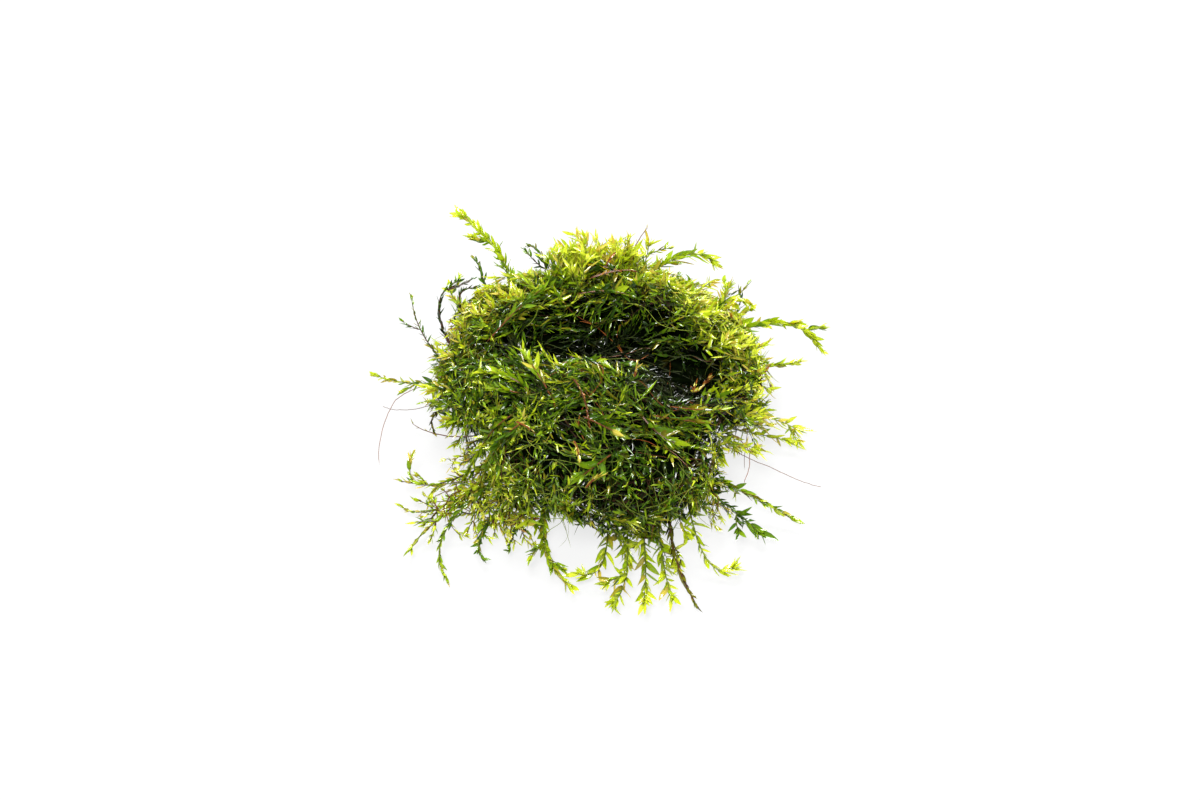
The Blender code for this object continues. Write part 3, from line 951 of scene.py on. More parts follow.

# Marks on the mat, as seen from above in millimetres: x, y, tone, share of aged leaves, the way the
# shoots lie in degrees from +X anticlockwise, and how thickly they grow. The tones hold painted light and
# shade: near black along the cleft and in the hollow, pale where light falls on the crest and through the
# rim.
matMarks = (
    (-8, 17, 0.74, 0.22, 100, 1.1), (0, 18, 0.76, 0.21, 90, 1.1), (8, 17, 0.74, 0.26, 75, 1.1),
    (15, 15, 0.78, 0.22, 40, 0.9), (-15, 14, 0.72, 0.26, 120, 0.9), (22, 12, 0.80, 0.19, 20, 0.7),
    (-22, 10, 0.64, 0.45, 100, 0.7), (-27, 6, 0.60, 0.38, 110, 1.0), (-15, 8, 0.50, 0.22, 15, 1.1),
    (-8, 10, 0.53, 0.15, 5, 1.1), (0, 10, 0.55, 0.11, 0, 1.1), (6, 10, 0.56, 0.11, -5, 1.1),
    (12, 10, 0.66, 0.19, -15, 1.1), (19, 8, 0.80, 0.22, -20, 1.0), (26, 8, 0.82, 0.19, -10, 0.7),
    (-8, 4.6, 0.12, 0.15, 0, 0.3), (0, 4.5, 0.10, 0.15, 0, 0.25), (8, 4.2, 0.10, 0.15, 0, 0.3),
    (14, 2.5, 0.18, 0.22, -10, 0.5), (19, 0, 0.18, 0.26, 0, 0.5), (23, -3, 0.22, 0.26, 60, 0.6),
    (28, 0, 0.78, 0.19, 0, 0.6), (-22, 2, 0.43, 0.34, -30, 1.0), (-16, 1, 0.21, 0.15, -30, 0.8),
    (-17, -5, 0.35, 0.04, -30, 1.1), (-22, -8, 0.46, 0.08, -25, 1.0), (-27, -4, 0.60, 0.15, 190, 0.8),
    (-8, -2, 0.38, 0.08, -20, 1.1), (0, -1, 0.42, 0.08, -5, 1.1), (6, -5, 0.34, 0.09, 10, 1.1),
    (-8, -10, 0.29, 0.09, -35, 1.1), (-1, -10, 0.24, 0.11, -40, 1.1), (5, -11, 0.23, 0.15, -50, 1.1),
    (12, -7, 0.20, 0.26, 60, 1.0), (19, -7, 0.24, 0.26, 60, 1.0), (25, -9, 0.74, 0.19, -10, 0.6),
    (12, -12, 0.46, 0.26, 10, 1.1), (19, -12, 0.60, 0.22, 5, 1.0),
    (-15, -12, 0.38, 0.09, -35, 1.5), (-21, -14, 0.60, 0.19, -120, 0.9), (-8, -16, 0.32, 0.11, -30, 1.7),
    (-1, -16, 0.26, 0.15, -45, 1.1), (5, -18, 0.27, 0.15, -60, 1.1), (12, -17, 0.34, 0.26, -50, 1.0),
    (18, -17, 0.60, 0.22, -40, 0.9), (-15, -20, 0.56, 0.22, -110, 0.8), (-8, -22, 0.34, 0.15, -50, 1.4),
    (0, -23, 0.30, 0.15, -80, 1.0), (7, -23, 0.32, 0.19, -70, 1.0), (14, -22, 0.58, 0.19, -60, 0.9),
    (-12, -26, 0.56, 0.22, -110, 0.6), (-5, -29, 0.46, 0.15, -100, 0.9), (2, -30, 0.42, 0.19, -90, 0.9),
    (9, -29, 0.46, 0.19, -80, 0.9), (0, 26, 0.66, 0.22, 90, 1.0), (-18, 22, 0.62, 0.26, 130, 1.0),
    (18, 22, 0.62, 0.26, 50, 1.0),
)
marks = np.array(matMarks, float)
markReach = 4.2  # mm


def readMarks(x, y):
    gap = (marks[:, 0] - x) ** 2 + (marks[:, 1] - y) ** 2
    weight = np.exp(-(gap - gap.min()) / (2 * markReach**2))
    weight /= weight.sum()
    way = np.radians(marks[:, 4])
    angle = math.atan2((np.sin(way) * weight).sum(), (np.cos(way) * weight).sum())
    tone, aged, thick = (marks[:, (2, 3, 5)] * weight[:, None]).sum(0)
    return tone, aged, angle, thick


creeping = {
    "step": 0.9,  # mm
    "fewest": 5,  # steps
    "follow": 0.65,  # share of the way to its place over the skin, at each step
    "letsGo": 0.15,  # slope of the skin where a shoot comes off it
    "holdsOn": 0.3,  # share of a shoot that never does
    "lateLift": 1.5,  # over 1, it rises mostly towards its end
    "wander": 0.55,
    "windLength": 4.5,  # mm
    "windRange": 50,  # of the places that the winding is read at
    "droop": 0.05,
    "rise": 0.05,
    "rim": 0.80,  # share of the mat's reach past which shoots point outwards
    "turnBefore": 0.15,  # they begin to turn outwards this much before it
    "turnOver": 0.25,
    "reversed": 0.5,  # share of shoots that point the other way
    "crest": 12,  # mm, behind which none does
}
matReach = 29.0  # mm


def creepingStem(start, heading, length, sink, lift, rng):
    # A stem that follows the mat's skin from sink under it to lift over it, and leaves it at the rim.
    steps = max(creeping["fewest"], round(length / creeping["step"]))
    place = Vector(start)
    ahead = Vector((math.cos(heading), math.sin(heading), 0.0))
    seed = Vector(rng.uniform(-creeping["windRange"], creeping["windRange"], 3))
    points, upward = [], Vector((0, 0, 1))
    for i in range(steps + 1):
        share = i / steps
        skin, normal, _, _ = matSkin.find_nearest(place)
        over = -sink + (sink + lift) * share ** creeping["lateLift"]
        if normal.z > creeping["letsGo"] or share < creeping["holdsOn"]:
            place = place.lerp(skin + normal * over, creeping["follow"])
            ahead = ahead - normal * ahead.dot(normal)
            upward = normal
        else:
            ahead.z -= creeping["droop"]
        points.append(np.array(place))
        ahead = ahead.normalized()
        turn = noise.noise(place / creeping["windLength"] + seed) * creeping["wander"]
        rise = upward * (lift * creeping["rise"]) * share
        ahead = (ahead + upward.cross(ahead) * turn + rise).normalized()
        place = place + ahead * (length / steps)
    return np.array(points), np.array(upward)


def scatterOnMat(count, rng, wanted):
    # Starts spread over the mat's skin, thicker where the marks say so.
    chance = faceAreas * np.array([wanted(c, n) for c, n in zip(faceCentres, faceNormals)])
    return faceCentres[rng.choice(len(faceCentres), count, p=chance / chance.sum())]


def towardsRim(x, y, angle, rng):
    # Which way a shoot points: along the lie of the tangle, either way, and outwards at the rim.
    reach = math.hypot(x, y) / matReach
    outward = math.atan2(y, x)
    if rng.uniform() < creeping["reversed"] and reach < creeping["rim"] and y < creeping["crest"]:
        angle += math.pi
    share = min(1.0, max(0.0, (reach - creeping["rim"] + creeping["turnBefore"]) / creeping["turnOver"]))
    east = (1 - share) * math.cos(angle) + share * math.cos(outward)
    north = (1 - share) * math.sin(angle) + share * math.sin(outward)
    return math.atan2(north, east)


def setOff(start, turn, rng):
    # the tone and the share of aged leaves at a start, and which way a shoot sets off there
    tone, aged, angle, _ = readMarks(start[0], start[1])
    return tone, aged, towardsRim(start[0], start[1], angle, rng) + rng.normal(0, turn)


tangle = {
    "bundles": 350,
    "shoots": (3, 4),  # in each bundle
    "apart": 1.0,  # mm
    "length": (8, 17),  # mm
    "ownLength": (0.7, 1.1),  # of each shoot, as a share of its bundle's
    "sink": 1.1,  # mm under the skin, where a shoot starts
    "lift": (-0.2, 1.8),  # mm over the skin, where it ends
    "turn": 0.24,  # radians, from bundle to bundle
    "fan": 0.11,  # radians, within a bundle
    "stemShade": 0.7,
    "toneSpread": (0.13, 0.07),  # from bundle to bundle, and from shoot to shoot
    "foot": -15,  # mm, in front of which shoots are shorter
    "footShorter": 0.55,
    "habits": ("strand", "strand", "rope", "rope", "blade", "tuft"),
    "wornOver": 0.42,  # share of aged leaves past which shoots are thin and bare
    "wornHabits": ("rope", "rope", "blade"),
    "lowest": 1.2,  # mm over the floor, under which none starts
    "steepest": -0.6,  # and how far the skin may look down where one starts
}
matParts = {"back": 8, "side": 13}  # mm behind and beside the middle, from where a shoot belongs to them


def thickness(centre, normal):
    if centre[2] < tangle["lowest"] or normal[2] < tangle["steepest"]:
        return 0.0
    return readMarks(centre[0], centre[1])[3]


def partOfMat(x, y):
    if y > matParts["back"]:
        return "back"
    if x < -matParts["side"]:
        return "left"
    if x > matParts["side"]:
        return "right"
    return "front"


matBeds = {part: newBed() for part in ("back", "left", "right", "front")}


def growTangle():
    rng = np.random.default_rng(11)
    for start in scatterOnMat(tangle["bundles"], rng, thickness):
        tone, aged, heading = setOff(start, tangle["turn"], rng)
        length = rng.uniform(*tangle["length"]) * (tangle["footShorter"] if start[1] < tangle["foot"] else 1)
        lift = rng.uniform(*tangle["lift"])
        shift = rng.normal(0, tangle["toneSpread"][0])
        choice = tangle["wornHabits"] if aged > tangle["wornOver"] else tangle["habits"]
        habit = choice[rng.integers(len(choice))]
        bed = matBeds[partOfMat(start[0], start[1])]
        for _ in range(rng.integers(tangle["shoots"][0], tangle["shoots"][1] + 1)):
            beside = start + rng.normal(0, tangle["apart"], 3)
            way = heading + rng.normal(0, tangle["fan"])
            ownLength = length * rng.uniform(*tangle["ownLength"])
            path, up = creepingStem(beside, way, ownLength, tangle["sink"], lift, rng)
            middle = path[len(path) // 2]
            tone = readMarks(middle[0], middle[1])[0] + shift + rng.normal(0, tangle["toneSpread"][1])
            stemTone = tone * tangle["stemShade"]
            dressShoot(bed, path, habit, rng, tone, aged, stemTone, up=up, sides=3, inMat=True)


# Older growth between the heart and the surface, its tones taken down with painted shade for its depth in
# the tangle.
inner = {
    "count": 620,
    "length": (7, 13),  # mm
    "depth": (2.0, 4.4),  # mm under the skin, where it starts
    "top": 1.0,  # mm under the skin, where it ends
    "outside": 0.4,  # mm over the skin, where it is cut off
    "shortest": 6,  # steps
    "turn": 0.6,  # radians
    "lowest": 1.0,  # mm
    "steepest": -0.7,
    # painted shade: share of its tone that growth keeps in there
    "shade": (0.45, 0.72),  # of dark growth, and of bright
    "bright": 0.6,  # tone
    "stemTone": 0.3,
}
# Bare brown stems all through the tangle, and green ones as thin as hairs that lie over it.
bareStems = {
    "count": 60,
    "length": (8, 20),
    "radius": (0.05, 0.11),
    "sink": 1.0,
    "lift": (0.0, 1.2),
    "turn": 0.5,
    "tone": (0.25, 0.75),
}
wisps = {
    "count": 280,
    "length": (6, 17),
    "radius": (0.05, 0.09),
    "sink": 0.2,
    "lift": (0.4, 2.2),
    "turn": 0.6,
    "paler": (0.12, 0.42),
    "palest": 0.98,
}


def insideThickness(centre, normal):
    if centre[2] < inner["lowest"] or normal[2] < inner["steepest"]:
        return 0.0
    return 1.0


def insideSkin(path):
    # the part of a path before it comes out of the mat's skin
    for i, place in enumerate(path):
        skin, normal, _, _ = matSkin.find_nearest(Vector(place))
        if (Vector(place) - skin).dot(normal) > inner["outside"]:
            return path[:i]
    return path


def growInner():
    rng = np.random.default_rng(23)
    bed = newBed()
    for start in scatterOnMat(inner["count"], rng, insideThickness):
        tone, aged, heading = setOff(start, inner["turn"], rng)
        length = rng.uniform(*inner["length"])
        path, up = creepingStem(start, heading, length, rng.uniform(*inner["depth"]), -inner["top"], rng)
        path = insideSkin(path)
        if len(path) < inner["shortest"]:
            continue
        # painted shade for its depth in the tangle
        darker = tone * inner["shade"][0 if tone < inner["bright"] else 1]
        stem = {"stemTone": inner["stemTone"], "stemAged": 1, "sides": 3}
        dressShoot(bed, path, "inner", rng, darker, aged, up=up, inMat=True, **stem)
    growPiece("mat_inner", bed, ["moss_mat"])


def growBareStems():
    rng = np.random.default_rng(31)
    bed = newBed()
    for start in scatterOnMat(bareStems["count"], rng, thickness):
        tone, aged, heading = setOff(start, bareStems["turn"], rng)
        lift = rng.uniform(*bareStems["lift"])
        length = rng.uniform(*bareStems["length"])
        path, up = creepingStem(start, heading, length, bareStems["sink"], lift, rng)
        bareStem(bed, path, rng.uniform(*bareStems["radius"]), rng.uniform(*bareStems["tone"]))
    for start in scatterOnMat(wisps["count"], rng, thickness):
        tone, aged, heading = setOff(start, wisps["turn"], rng)
        lift = rng.uniform(*wisps["lift"])
        path, up = creepingStem(start, heading, rng.uniform(*wisps["length"]), wisps["sink"], lift, rng)
        # painted shade in the cleft and hollow, as on the leaves
        shade = cleftShade(path)
        paler = min(wisps["palest"], tone * shade.min() + rng.uniform(*wisps["paler"]) * shade.mean())
        bareStem(bed, path, rng.uniform(*wisps["radius"]), paler, aged=0, sides=3)
    growPiece("mat_bare_stems", bed, ["moss_mat"])


# Shoots that end the mat along its crest and its rim: they stand clear, so that light comes through them.
fringe = {
    "crest": {
        "count": 84, "from": (-6.5, 13, 21.5), "to": (6, 14, 21.0), "length": (5.0, 8.2),
        "rise": 33, "way": 90, "turn": 22, "tone": 0.68, "aged": 0.3,
    },
    "crestFoot": {
        "count": 50, "from": (-12, 11, 19), "to": (13, 11, 19), "length": (5.0, 7.5),
        "rise": 30, "way": 88, "turn": 30, "tone": 0.60, "aged": 0.35,
    },
    "backRight": {
        "count": 34, "from": (12, 9, 17), "to": (21, 5, 11), "length": (4.5, 7.5),
        "rise": 20, "way": 40, "turn": 24, "tone": 0.68, "aged": 0.3,
    },
    "backLeft": {
        "count": 34, "from": (-13, 9, 17), "to": (-22, 4, 11), "length": (4.5, 7.5),
        "rise": 45, "way": 118, "turn": 22, "tone": 0.68, "aged": 0.5,
    },
    "right": {
        "count": 32, "from": (21, 5, 10), "to": (20, -11, 6), "length": (4.5, 9.0),
        "rise": 8, "way": -4, "turn": 34, "tone": 0.74, "aged": 0.25,
    },
    "left": {
        "count": 34, "from": (-24, 6, 10), "to": (-21, -6, 7), "length": (4.5, 7.5),
        "rise": 8, "way": 180, "turn": 30, "tone": 0.58, "aged": 0.25,
    },
    "frontLeft": {
        "count": 8, "from": (-15, -19, 4), "to": (-10, -20, 4), "length": (4.5, 7),
        "rise": -12, "way": -100, "turn": 34, "tone": 0.62, "aged": 0.3,
    },
    "front": {
        "count": 13, "from": (1, -20, 4), "to": (15, -20, 4), "length": (4.5, 7.5),
        "rise": -12, "way": -90, "turn": 34, "tone": 0.60, "aged": 0.2,
    },
    "behind": {
        "count": 44, "from": (-18, 16, 6), "to": (18, 16, 6), "length": (5.0, 8.0),
        "rise": -5, "way": 90, "turn": 34, "tone": 0.62, "aged": 0.35,
    },
}
fringeHabits = ("fringe", "fringe", "fringeStar")
# How unevenly they grow: spreads in millimetres, degrees or shares of their length.
fringeSpread = {"along": 0.4, "root": (0.9, 1.3, 1.6), "rise": 14, "side": 0.13, "sag": 0.06, "tone": 0.05}
fringeStem = {"darker": 0.15, "points": 9}


def growFringe():
    rng = np.random.default_rng(47)
    bed = newBed()
    for stretch in fringe.values():
        first, last = np.array(stretch["from"], float), np.array(stretch["to"], float)
        for i in range(stretch["count"]):
            along = i + rng.uniform(-fringeSpread["along"], fringeSpread["along"])
            root = first + (last - first) * along / stretch["count"]
            root += rng.normal(0, fringeSpread["root"])
            way = math.radians(stretch["way"] + rng.normal(0, stretch["turn"]))
            rise = math.radians(stretch["rise"] + rng.normal(0, fringeSpread["rise"]))
            level = math.cos(rise)
            ahead = np.array((math.cos(way) * level, math.sin(way) * level, math.sin(rise)))
            length = rng.uniform(*stretch["length"])
            side = rng.normal(0, fringeSpread["side"], 3) * length
            tip = root + ahead * length + side - (0, 0, fringeSpread["sag"] * length)
            tip[2] = min(tip[2], ceiling["start"])
            bend = root + ahead * length * 0.5 - side * 0.5
            path = bentPath(root, bend, tip, fringeStem["points"])
            tone = stretch["tone"] + rng.normal(0, fringeSpread["tone"])
            habit = fringeHabits[rng.integers(len(fringeHabits))]
            dressShoot(bed, path, habit, rng, tone, stretch["aged"], tone - fringeStem["darker"], sides=3)
    growPiece("mat_fringe", bed, ["moss_mat"])


# Loose twigs that lie over the floor around the mat's foot, as seen from above: where they start (centre
# and half size, mm), which way they run in degrees, and how far.
netting = {
    "lowerLeft": {
        "count": 38, "middle": (-18, -19, 2.5), "spread": (5.5, 4.5, 1.4),
        "way": (160, 300), "length": (4, 10), "habit": "netTwig", "tone": 0.75,
        "aged": 0.24,
    },
    "leftFoot": {
        "count": 6, "middle": (-21, -10, 3.5), "spread": (3, 3.5, 1.5), "way": (150, 260),
        "length": (3, 7), "habit": "netTwig", "tone": 0.75, "aged": 0.28,
    },
    "frontFoot": {
        "count": 5, "middle": (-12, -25, 2.5), "spread": (3, 2, 1.0), "way": (180, 330),
        "length": (4, 7), "habit": "netTwig", "tone": 0.71, "aged": 0.21,
    },
    "bottom": {
        "count": 4, "middle": (8, -29, 2.0), "spread": (5, 2.5, 0.8), "way": (200, 340),
        "length": (4, 7), "habit": "netStar", "tone": 0.71, "aged": 0.10,
    },
    "lowerRight": {
        "count": 14, "middle": (17, -20, 3.0), "spread": (4, 3.5, 1.5), "way": (220, 420),
        "length": (4, 8), "habit": "netTwig", "tone": 0.73, "aged": 0.21,
    },
}
# What they share: lengths in millimetres, shares of a twig's length, chances and radians.
netTwigs = {
    "bow": 0.34,  # how far a twig bends to one side
    "wander": 0.16,
    "drop": (0.2, 0.9),  # height of its tip, as a share of its root's
    "lowest": 0.7,
    "arch": (0.2, 1.6),
    "toneSpread": 0.09,
    "stemTone": 0.42,
    "browned": 0.6,
    "forked": 0.6,
    "forkAt": (3, 10),  # which step of its path
    "forkTurn": (0.5, 1.1),
    "forkReach": (0.25, 0.5),
    "forkArch": 0.4,
    "forkRise": 0.05,
    "forkPaler": 0.04,
    "points": 16,
    "forkPoints": 8,
}


def growNetting():
    rng = np.random.default_rng(61)
    bed = newBed()
    for patch in netting.values():
        for _ in range(patch["count"]):
            root = np.array(patch["middle"]) + rng.uniform(-1, 1, 3) * patch["spread"]
            way = math.radians(rng.uniform(*patch["way"]))
            length = rng.uniform(*patch["length"])
            ahead = np.array((math.cos(way), math.sin(way), 0.0))
            across = np.array((-ahead[1], ahead[0], 0.0))
            bow = rng.normal(0, netTwigs["bow"]) * length
            tip = root + ahead * length
            tip[2] = max(netTwigs["lowest"], root[2] * rng.uniform(*netTwigs["drop"]))
            arch = (0, 0, rng.uniform(*netTwigs["arch"]))
            path = bentPath(root, root + ahead * length * 0.5 + across * bow + arch, tip, netTwigs["points"])
            path[1:-1, :2] += wander(path, netTwigs["wander"], rng, 2)
            tone = patch["tone"] + rng.normal(0, netTwigs["toneSpread"])
            stem = {"stemTone": netTwigs["stemTone"], "stemAged": int(rng.uniform() < netTwigs["browned"])}
            dressShoot(bed, path, patch["habit"], rng, tone, patch["aged"], **stem)
            if rng.uniform() < netTwigs["forked"]:
                fork = path[int(rng.integers(*netTwigs["forkAt"]))]
                turn = way + rng.choice((-1, 1)) * rng.uniform(*netTwigs["forkTurn"])
                reach = rng.uniform(*netTwigs["forkReach"]) * length
                end = fork + np.array((math.cos(turn), math.sin(turn), netTwigs["forkRise"])) * reach
                bend = (fork + end) / 2 + (0, 0, netTwigs["forkArch"])
                twig = bentPath(fork, bend, end, netTwigs["forkPoints"])
                paler = tone + netTwigs["forkPaler"]
                dressShoot(bed, twig, patch["habit"], rng, paler, patch["aged"], **stem)
    growPiece("mat_netting", bed, ["moss_mat"])


# Single shoots and worn bits that catch the eye, each from root to tip as seen from above (mm), with how
# far the root and the tip stand over the mat's skin, the leaf length, how it grows, its tone and its
# share of aged leaves.
standouts = (
    ((-9, -9), (-13.5, -0.5), 0.6, 2.6, 2.4, "blades", 0.62, 0.1),
    ((-12, -9), (-21, -5), 0.6, 2.2, 2.2, "leafy", 0.60, 0.0),
    ((-14, -9), (-19, -9), 0.5, 2.0, 2.0, "leafy", 0.56, 0.0),
    ((-15, -13), (-24, -17), 0.8, 2.2, 2.4, "blades", 0.56, 0.1),
    ((-13, -15), (-22, -20), 0.8, 1.6, 2.2, "leafy", 0.52, 0.1),
    ((-7, -2), (1, -2.5), 0.8, 1.2, 2.0, "leafy", 0.44, 0.0),
    ((2, -3), (8, -1), 0.8, 1.4, 2.0, "leafy", 0.42, 0.1),
    ((-20, 3), (-10, 10), 0.6, 1.4, 2.4, "blades", 0.40, 0.1),
    ((-4, 10), (6, 9), 0.8, 1.6, 2.2, "leafy", 0.40, 0.0),
    ((4, 13), (-3, 15), 0.8, 1.8, 2.4, "leafy", 0.34, 0.0),
    ((-3, -14), (4, -19), 0.6, 1.8, 2.4, "starry", 0.46, 0.1),
    ((7, -14), (13, -19), 0.6, 2.0, 2.8, "starry", 0.48, 0.1),
    ((2, -22), (-4, -27), 0.6, 2.0, 2.6, "starry", 0.44, 0.1),
    ((12, -12), (22, -11), 0.8, 1.6, 2.0, "blades", 0.52, 0.4),
    ((9, -14), (19, -14), 0.8, 1.6, 2.0, "blades", 0.46, 0.4),
    ((-5, -7.5), (-1.8, -16), 1.4, 1.2, 1.1, "husk", 0.90, 1.0),
    ((6, -8), (6.5, -4.5), 1.0, 2.4, 1.2, "husk", 0.82, 1.0),
    ((16.5, -4), (19.5, 1), 1.6, 3.4, 1.6, "husk", 0.86, 1.0),
    ((16.5, -4), (17, 0), 1.6, 3.0, 1.5, "husk", 0.84, 1.0),
    ((-14.5, -15), (-11.5, -18), 1.2, 1.6, 1.2, "husk", 0.88, 1.0),
    ((-4.5, -19), (-3.5, -24), 1.4, 1.8, 1.6, "husk", 0.78, 1.0),
    ((-2.5, -28), (0, -27), 1.6, 2.2, 2.0, "husk", 0.78, 1.0),
    ((1, 14), (3.5, 19), 2.0, 4.0, 1.2, "husk", 0.88, 1.0),
    ((-2, 12), (6, 12.5), 1.4, 2.0, 1.2, "husk", 0.90, 1.0),
)
standoutSpread = 0.4  # mm, how far a standout's middle is moved and raised
standoutPoints = 14
wornStemTone = 0.55
skyHeight = 60  # mm, well over the mat
edgeHeight = 1.0  # mm, what counts as the skin beside the mat


def overSkin(place, over):
    # the point that stands over the mat's skin at a place seen from above
    hit = matSkin.ray_cast(Vector((*place, skyHeight)), Vector((0, 0, -1)))[0]
    return np.array((*place, (hit.z if hit else edgeHeight) + over))


def growStandouts():
    rng = np.random.default_rng(83)
    bed = newBed()
    for root, tip, rootOver, tipOver, length, habit, tone, aged in standouts:
        middle = (np.array(root) + np.array(tip)) / 2 + rng.normal(0, standoutSpread, 2)
        bend = overSkin(tuple(middle), (rootOver + tipOver) / 2 + standoutSpread)
        path = bentPath(overSkin(root, rootOver), bend, overSkin(tip, tipOver), standoutPoints)
        dressShoot(bed, path, habit, rng, tone, aged, wornStemTone, stemAged=1, length=length)
    growPiece("mat_standouts", bed, ["moss_mat"])


growTangle()
for part, bed in matBeds.items():
    growPiece("mat_" + part, bed, ["moss_mat"])
growInner()
growBareStems()
growFringe()
growNetting()
growStandouts()
print("stage: mat grown")

# The shoots that stand clear of the mat: root, bend and tip in millimetres, leaf length, how it grows,
# its tone, its share of aged leaves, its stem's tone, and the side shoots it carries. The places are
# those of the CAD nodes, but for the tips of back_left_long, back_left_curved and right_low_cluster,
# which are up to 2.1 mm off them.
sprigs = {
    "back_left_long": (
        (-15, 14.5, 17.5), (-18, 21, 22.5), (-25, 27.8, 24.8), 2.3, "bushy", 0.66, 0.03, 0.8, 1,
    ),
    "back_left_side": ((-18, 11, 13), (-21, 18, 19), (-22.5, 21.5, 20), 1.6, "leafy", 0.33, 0.10, 0.3, 0),
    "back_left_thin": ((-9, 12, 20), (-10, 18, 24), (-13, 20, 25), 1.7, "sparse", 0.33, 0.10, 0.2, 1),
    "back_left_curved": ((-22, 9, 12), (-26, 16, 16), (-22, 17.5, 17), 1.6, "ribbon", 0.25, 0.20, 0.3, 0),
    "left_arched": ((-25, 6, 10), (-30, 16, 14), (-25, 20, 16), 1.5, "ribbon", 0.23, 0.10, 0.3, 1),
    "left_upright": ((-26, 4, 9), (-32, 11, 11), (-34, 19, 13), 1.4, "sparse", 0.41, 0.15, 0.3, 1),
    "left_level": ((-25, 3, 8), (-34, 2, 8), (-41, 6, 6), 1.9, "sparse", 0.62, 0.25, 0.5, 1),
    "left_drooping": ((-22, -2, 8), (-29.5, -2, 5.5), (-29.5, -4, 1.8), 1.4, "ribbon", 0.28, 0.30, 0.3, 0),
    "left_low_curled": ((-18, -13, 5), (-32, -19, 3), (-33, -11, 4), 1.8, "sparse", 0.60, 0.25, 0.2, 2),
    "left_low_spread": ((-17, -14, 4), (-28, -23, 2), (-35, -21, 2), 1.7, "sparse", 0.58, 0.25, 0.2, 2),
    "left_low_outer": ((-16, -14, 6), (-29, -26, 3), (-33, -31, 1.6), 1.9, "sparse", 0.62, 0.20, 0.3, 2),
    "front_left_long": ((-14, -16, 7), (-28, -27, 3), (-26, -38, 1.5), 1.8, "ribbon", 0.51, 0.20, 0.6, 0),
    "front_left_short": ((-12, -18, 4), (-21, -27, 2), (-20, -33, 1.6), 1.9, "ribbon", 0.38, 0.10, 0.5, 0),
    "front_left_stub": ((-11, -18, 3), (-15, -27, 2), (-16, -31, 1.6), 1.6, "ribbon", 0.35, 0.10, 0.5, 0),
    "front_left_leafy": ((-9, -18, 4), (-10, -31, 2), (-5, -39, 1.6), 2.4, "leafy", 0.62, 0.15, 0.6, 2),
    "front_crossing": ((1, -20, 4), (1.2, -35, 2), (-3.8, -36, 1.8), 2.3, "starry", 0.66, 0.10, 0.6, 0),
    "front_first": ((4, -20, 5), (5, -36, 2), (2, -43, 1.8), 2.8, "starry", 0.66, 0.10, 0.6, 1),
    "front_second": ((7, -20, 5), (8, -35, 2.2), (7.5, -43, 1.8), 2.7, "starry", 0.66, 0.12, 0.6, 0),
    "front_third": ((9.5, -20, 5.5), (10.8, -34, 2), (12.5, -42, 1.8), 2.4, "starry", 0.64, 0.15, 0.5, 0),
    "front_right_fork": ((15, -19, 4.5), (18, -35, 2), (24, -34.5, 1.8), 2.4, "starry", 0.70, 0.0, 0.6, 0),
    "right_low_cluster": (
        (17, -17, 3.5), (24.5, -24, 2.5), (28, -28, 2.2), 2.6, "starry", 0.39, 0.05, 0.5, 1,
    ),
    "right_low_long": ((18, -15.5, 4), (26, -20.5, 4), (34, -24.5, 2), 2.2, "leafy", 0.58, 0.15, 0.5, 0),
    "right_level": ((23, -3, 7), (30.5, -2.5, 4.2), (36, -3.8, 2), 2.5, "starry", 0.69, 0.15, 0.7, 1),
    "right_under": ((22, -4.8, 4.2), (28.5, -5.4, 2.8), (34, -6.4, 1.8), 2.3, "starry", 0.68, 0.20, 0.7, 0),
    "right_star": ((22, 1.5, 8), (27, 3, 8), (30.5, 1.5, 6.5), 2.0, "starry", 0.66, 0.15, 0.7, 0),
    "right_middle": ((24, 5, 10), (31, 5.5, 9), (36, 6.5, 9.5), 2.2, "leafy", 0.66, 0.15, 0.7, 0),
    "right_long": ((21, 10, 12), (34, 13.5, 13), (40, 10, 8), 2.6, "leafy", 0.70, 0.10, 0.8, 1),
    "back_right_upper": ((18, 12, 14), (23, 15.5, 16), (26.5, 16, 14.5), 2.2, "bushy", 0.66, 0.15, 0.7, 1),
    "back_right_lower": ((21, 12, 9), (25, 15.5, 11), (27.5, 17.5, 11), 2.0, "leafy", 0.64, 0.20, 0.7, 0),
    "back_right_star": ((14, 13, 16), (18, 16, 18), (20.5, 18, 17.5), 2.5, "starry", 0.70, 0.10, 0.7, 0),
    "back_right_arch": ((6, 14, 21), (15.5, 21, 22.5), (21, 22.5, 17.5), 3.1, "blades", 0.64, 0.15, 0.6, 0),
    "back_right_short": ((3, 15, 21), (8, 20, 22.5), (13, 22, 22.5), 1.6, "sparse", 0.62, 0.20, 0.6, 0),
    "back_crest_left": ((-6, 15, 21), (-7, 18.5, 22.5), (-8, 22, 22.5), 2.2, "starry", 0.72, 0.15, 0.7, 0),
    "back_crest_middle": (
        (-2, 15, 21), (-3, 20.5, 23.5), (-4.5, 24, 23.5), 2.2, "starry", 0.72, 0.15, 0.7, 0,
    ),
    "back_crest_right": ((1, 15, 20), (3, 20.5, 22), (3.5, 24.5, 21.5), 2.2, "starry", 0.72, 0.15, 0.7, 0),
    "behind_left_low": ((-18, 16, 6), (-26, 26, 3), (-28, 33, 1.8), 2.0, "leafy", 0.60, 0.20, 0.4, 1),
    "behind_left": ((-10, 18, 6), (-14, 28, 3), (-13, 36, 1.8), 2.3, "starry", 0.64, 0.15, 0.4, 1),
    "behind_middle": ((-1, 19, 6), (-3, 30, 3), (1, 36, 1.8), 2.2, "leafy", 0.60, 0.20, 0.4, 1),
    "behind_right": ((9, 19, 6), (11, 30, 3), (10, 37, 1.8), 2.3, "starry", 0.64, 0.15, 0.4, 0),
    "behind_right_low": ((17, 17, 5), (23, 27, 3), (23, 34, 1.8), 2.0, "leafy", 0.60, 0.20, 0.4, 1),
}
